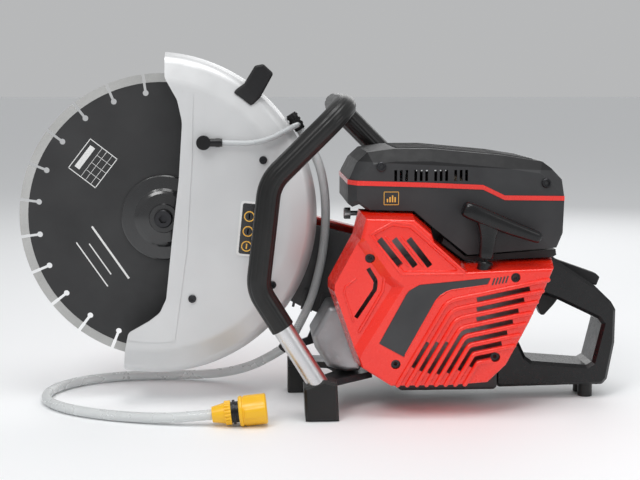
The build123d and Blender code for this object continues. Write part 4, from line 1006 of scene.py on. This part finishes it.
bulkheadValues = {"y": -52.2, "thick": 2.6,
                  "outline": [(100, 246), (104, 236), (123, 216), (128, 201), (162, 174), (173, 174),
                              (173, 246)],
                  "ribs": [(124, 232), (134, 222), (144, 213), (154, 205), (164, 197)], "ribSize": (26, 2.4),
                  "ribRise": 1.6, "ribSunk": 0.1, "ribWay": (0.5, 1)}


def buildBulkhead(values):
    # the ribbed inner wall seen in the slit between the starter cover and the top cover
    bm = bmesh.new()
    corners = [Vector((x, values["y"], z)) * mm for x, z in reversed(values["outline"])]
    plateFrom(bm, corners, values["thick"] * mm)
    length, width = values["ribSize"]
    lean = Vector(values["ribWay"]).normalized()
    for place in values["ribs"]:
        addBar(bm, Vector(place), lean, Vector((lean.y, -lean.x)), length, width,
               values["y"] - values["thick"] + values["ribSunk"], values["ribRise"])
    addPiece("innerBulkhead", bm, grainBlack, "machine")


buildBulkhead(bulkheadValues)

ropeValues = {"foot": (184.2, -98, 167.5), "tilt": 12.0, "start": 10.0, "end": 36.0, "radius": 2.0,
              "cuts": 40, "strands": 4, "strandDepth": 0.08, "twist": 3}


def buildRope(values):
    # the rope runs from the bush into the T handle
    tilt = math.radians(values["tilt"])
    way = Vector((math.sin(tilt), 0, math.cos(tilt)))
    foot = Vector(values["foot"])
    bm = bmesh.new()
    length = values["end"] - values["start"]
    bmesh.ops.create_cone(bm, cap_ends=True, segments=20, radius1=values["radius"] * mm,
                          radius2=values["radius"] * mm, depth=length * mm)
    sides = [edge for edge in bm.edges if abs((edge.verts[0].co - edge.verts[1].co).z) > length * mm / 2]
    bmesh.ops.subdivide_edges(bm, edges=sides, cuts=values["cuts"])
    for vert in bm.verts:
        lay = vert.co.z / mm * values["twist"] + values["strands"] * math.atan2(vert.co.y, vert.co.x)
        vert.co.x *= 1 + values["strandDepth"] * math.sin(lay)
    middle = Matrix.Translation((foot + way * (values["start"] + length / 2)) * mm)
    turnTo = way.to_track_quat("Z", "Y").to_matrix().to_4x4()
    bmesh.ops.transform(bm, matrix=middle @ turnTo, verts=bm.verts)
    piece = addPiece("starterRope", bm, grainBlack, None)
    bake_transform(piece)


buildRope(ropeValues)
print("stripe, badge, clips, pull handle, bulkhead and rope built")


# floor, light and camera

floorValues = {"size": 30, "drop": 0.0005, "color": (0.93, 0.94, 0.95, 1), "rough": 0.7}


def buildFloor(values):
    bm = bmesh.new()
    bmesh.ops.create_grid(bm, x_segments=1, y_segments=1, size=values["size"])
    floor = linkNew("floor", meshFrom(bm, "floor"))
    floor.location.z = -values["drop"]
    pale = bpy.data.materials.new("paleFloor")
    pale.use_nodes = True
    shader = pale.node_tree.nodes["Principled BSDF"]
    shader.inputs["Base Color"].default_value = values["color"]
    shader.inputs["Roughness"].default_value = values["rough"]
    floor.data.materials.append(pale)


lightValues = {"lamps": [("key", (-0.9, -1.5, 1.9), 16, 0.8), ("fill", (1.5, -1.5, 1.0), 4, 0.9),
                         ("top", (0.1, -0.5, 2.0), 15, 1.1), ("back", (0.6, 1.7, 1.2), 9, 1.4)],
               "target": (0, 0, 0.18), "world": (0.95, 0.96, 0.97, 1), "worldStrength": 0.5}


def buildLights(values):
    for name, place, power, size in values["lamps"]:
        light = bpy.data.lights.new(name, "AREA")
        light.energy = power
        light.size = size
        lamp = linkNew(name, light)
        lamp.location = place
        lamp.rotation_euler = (Vector(values["target"]) - Vector(place)).to_track_quat("-Z", "Y").to_euler()
    world = bpy.data.worlds.new("studio")
    world.use_nodes = True
    world.node_tree.nodes["Background"].inputs["Color"].default_value = values["world"]
    world.node_tree.nodes["Background"].inputs["Strength"].default_value = values["worldStrength"]
    bpy.context.scene.world = world


cameraValues = {"azimuth": -3.2, "elevation": 7.5, "distance": 1.485, "target": (0, 0, 0.198), "lens": 67.5,
                "sensor": 36}


def buildCamera(values):
    azimuth, elevation = math.radians(values["azimuth"]), math.radians(values["elevation"])
    back = Vector((math.sin(azimuth) * math.cos(elevation), -math.cos(azimuth) * math.cos(elevation),
                   math.sin(elevation)))
    lens = bpy.data.cameras.new("camera")
    lens.lens = values["lens"]
    lens.sensor_width = values["sensor"]
    camera = linkNew("camera", lens)
    camera.location = Vector(values["target"]) + back * values["distance"]
    camera.rotation_euler = (-back).to_track_quat("-Z", "Y").to_euler()
    bpy.context.scene.camera = camera


buildFloor(floorValues)
buildLights(lightValues)
buildCamera(cameraValues)
bpy.context.scene.view_settings.view_transform = "Standard"
print("stage built")
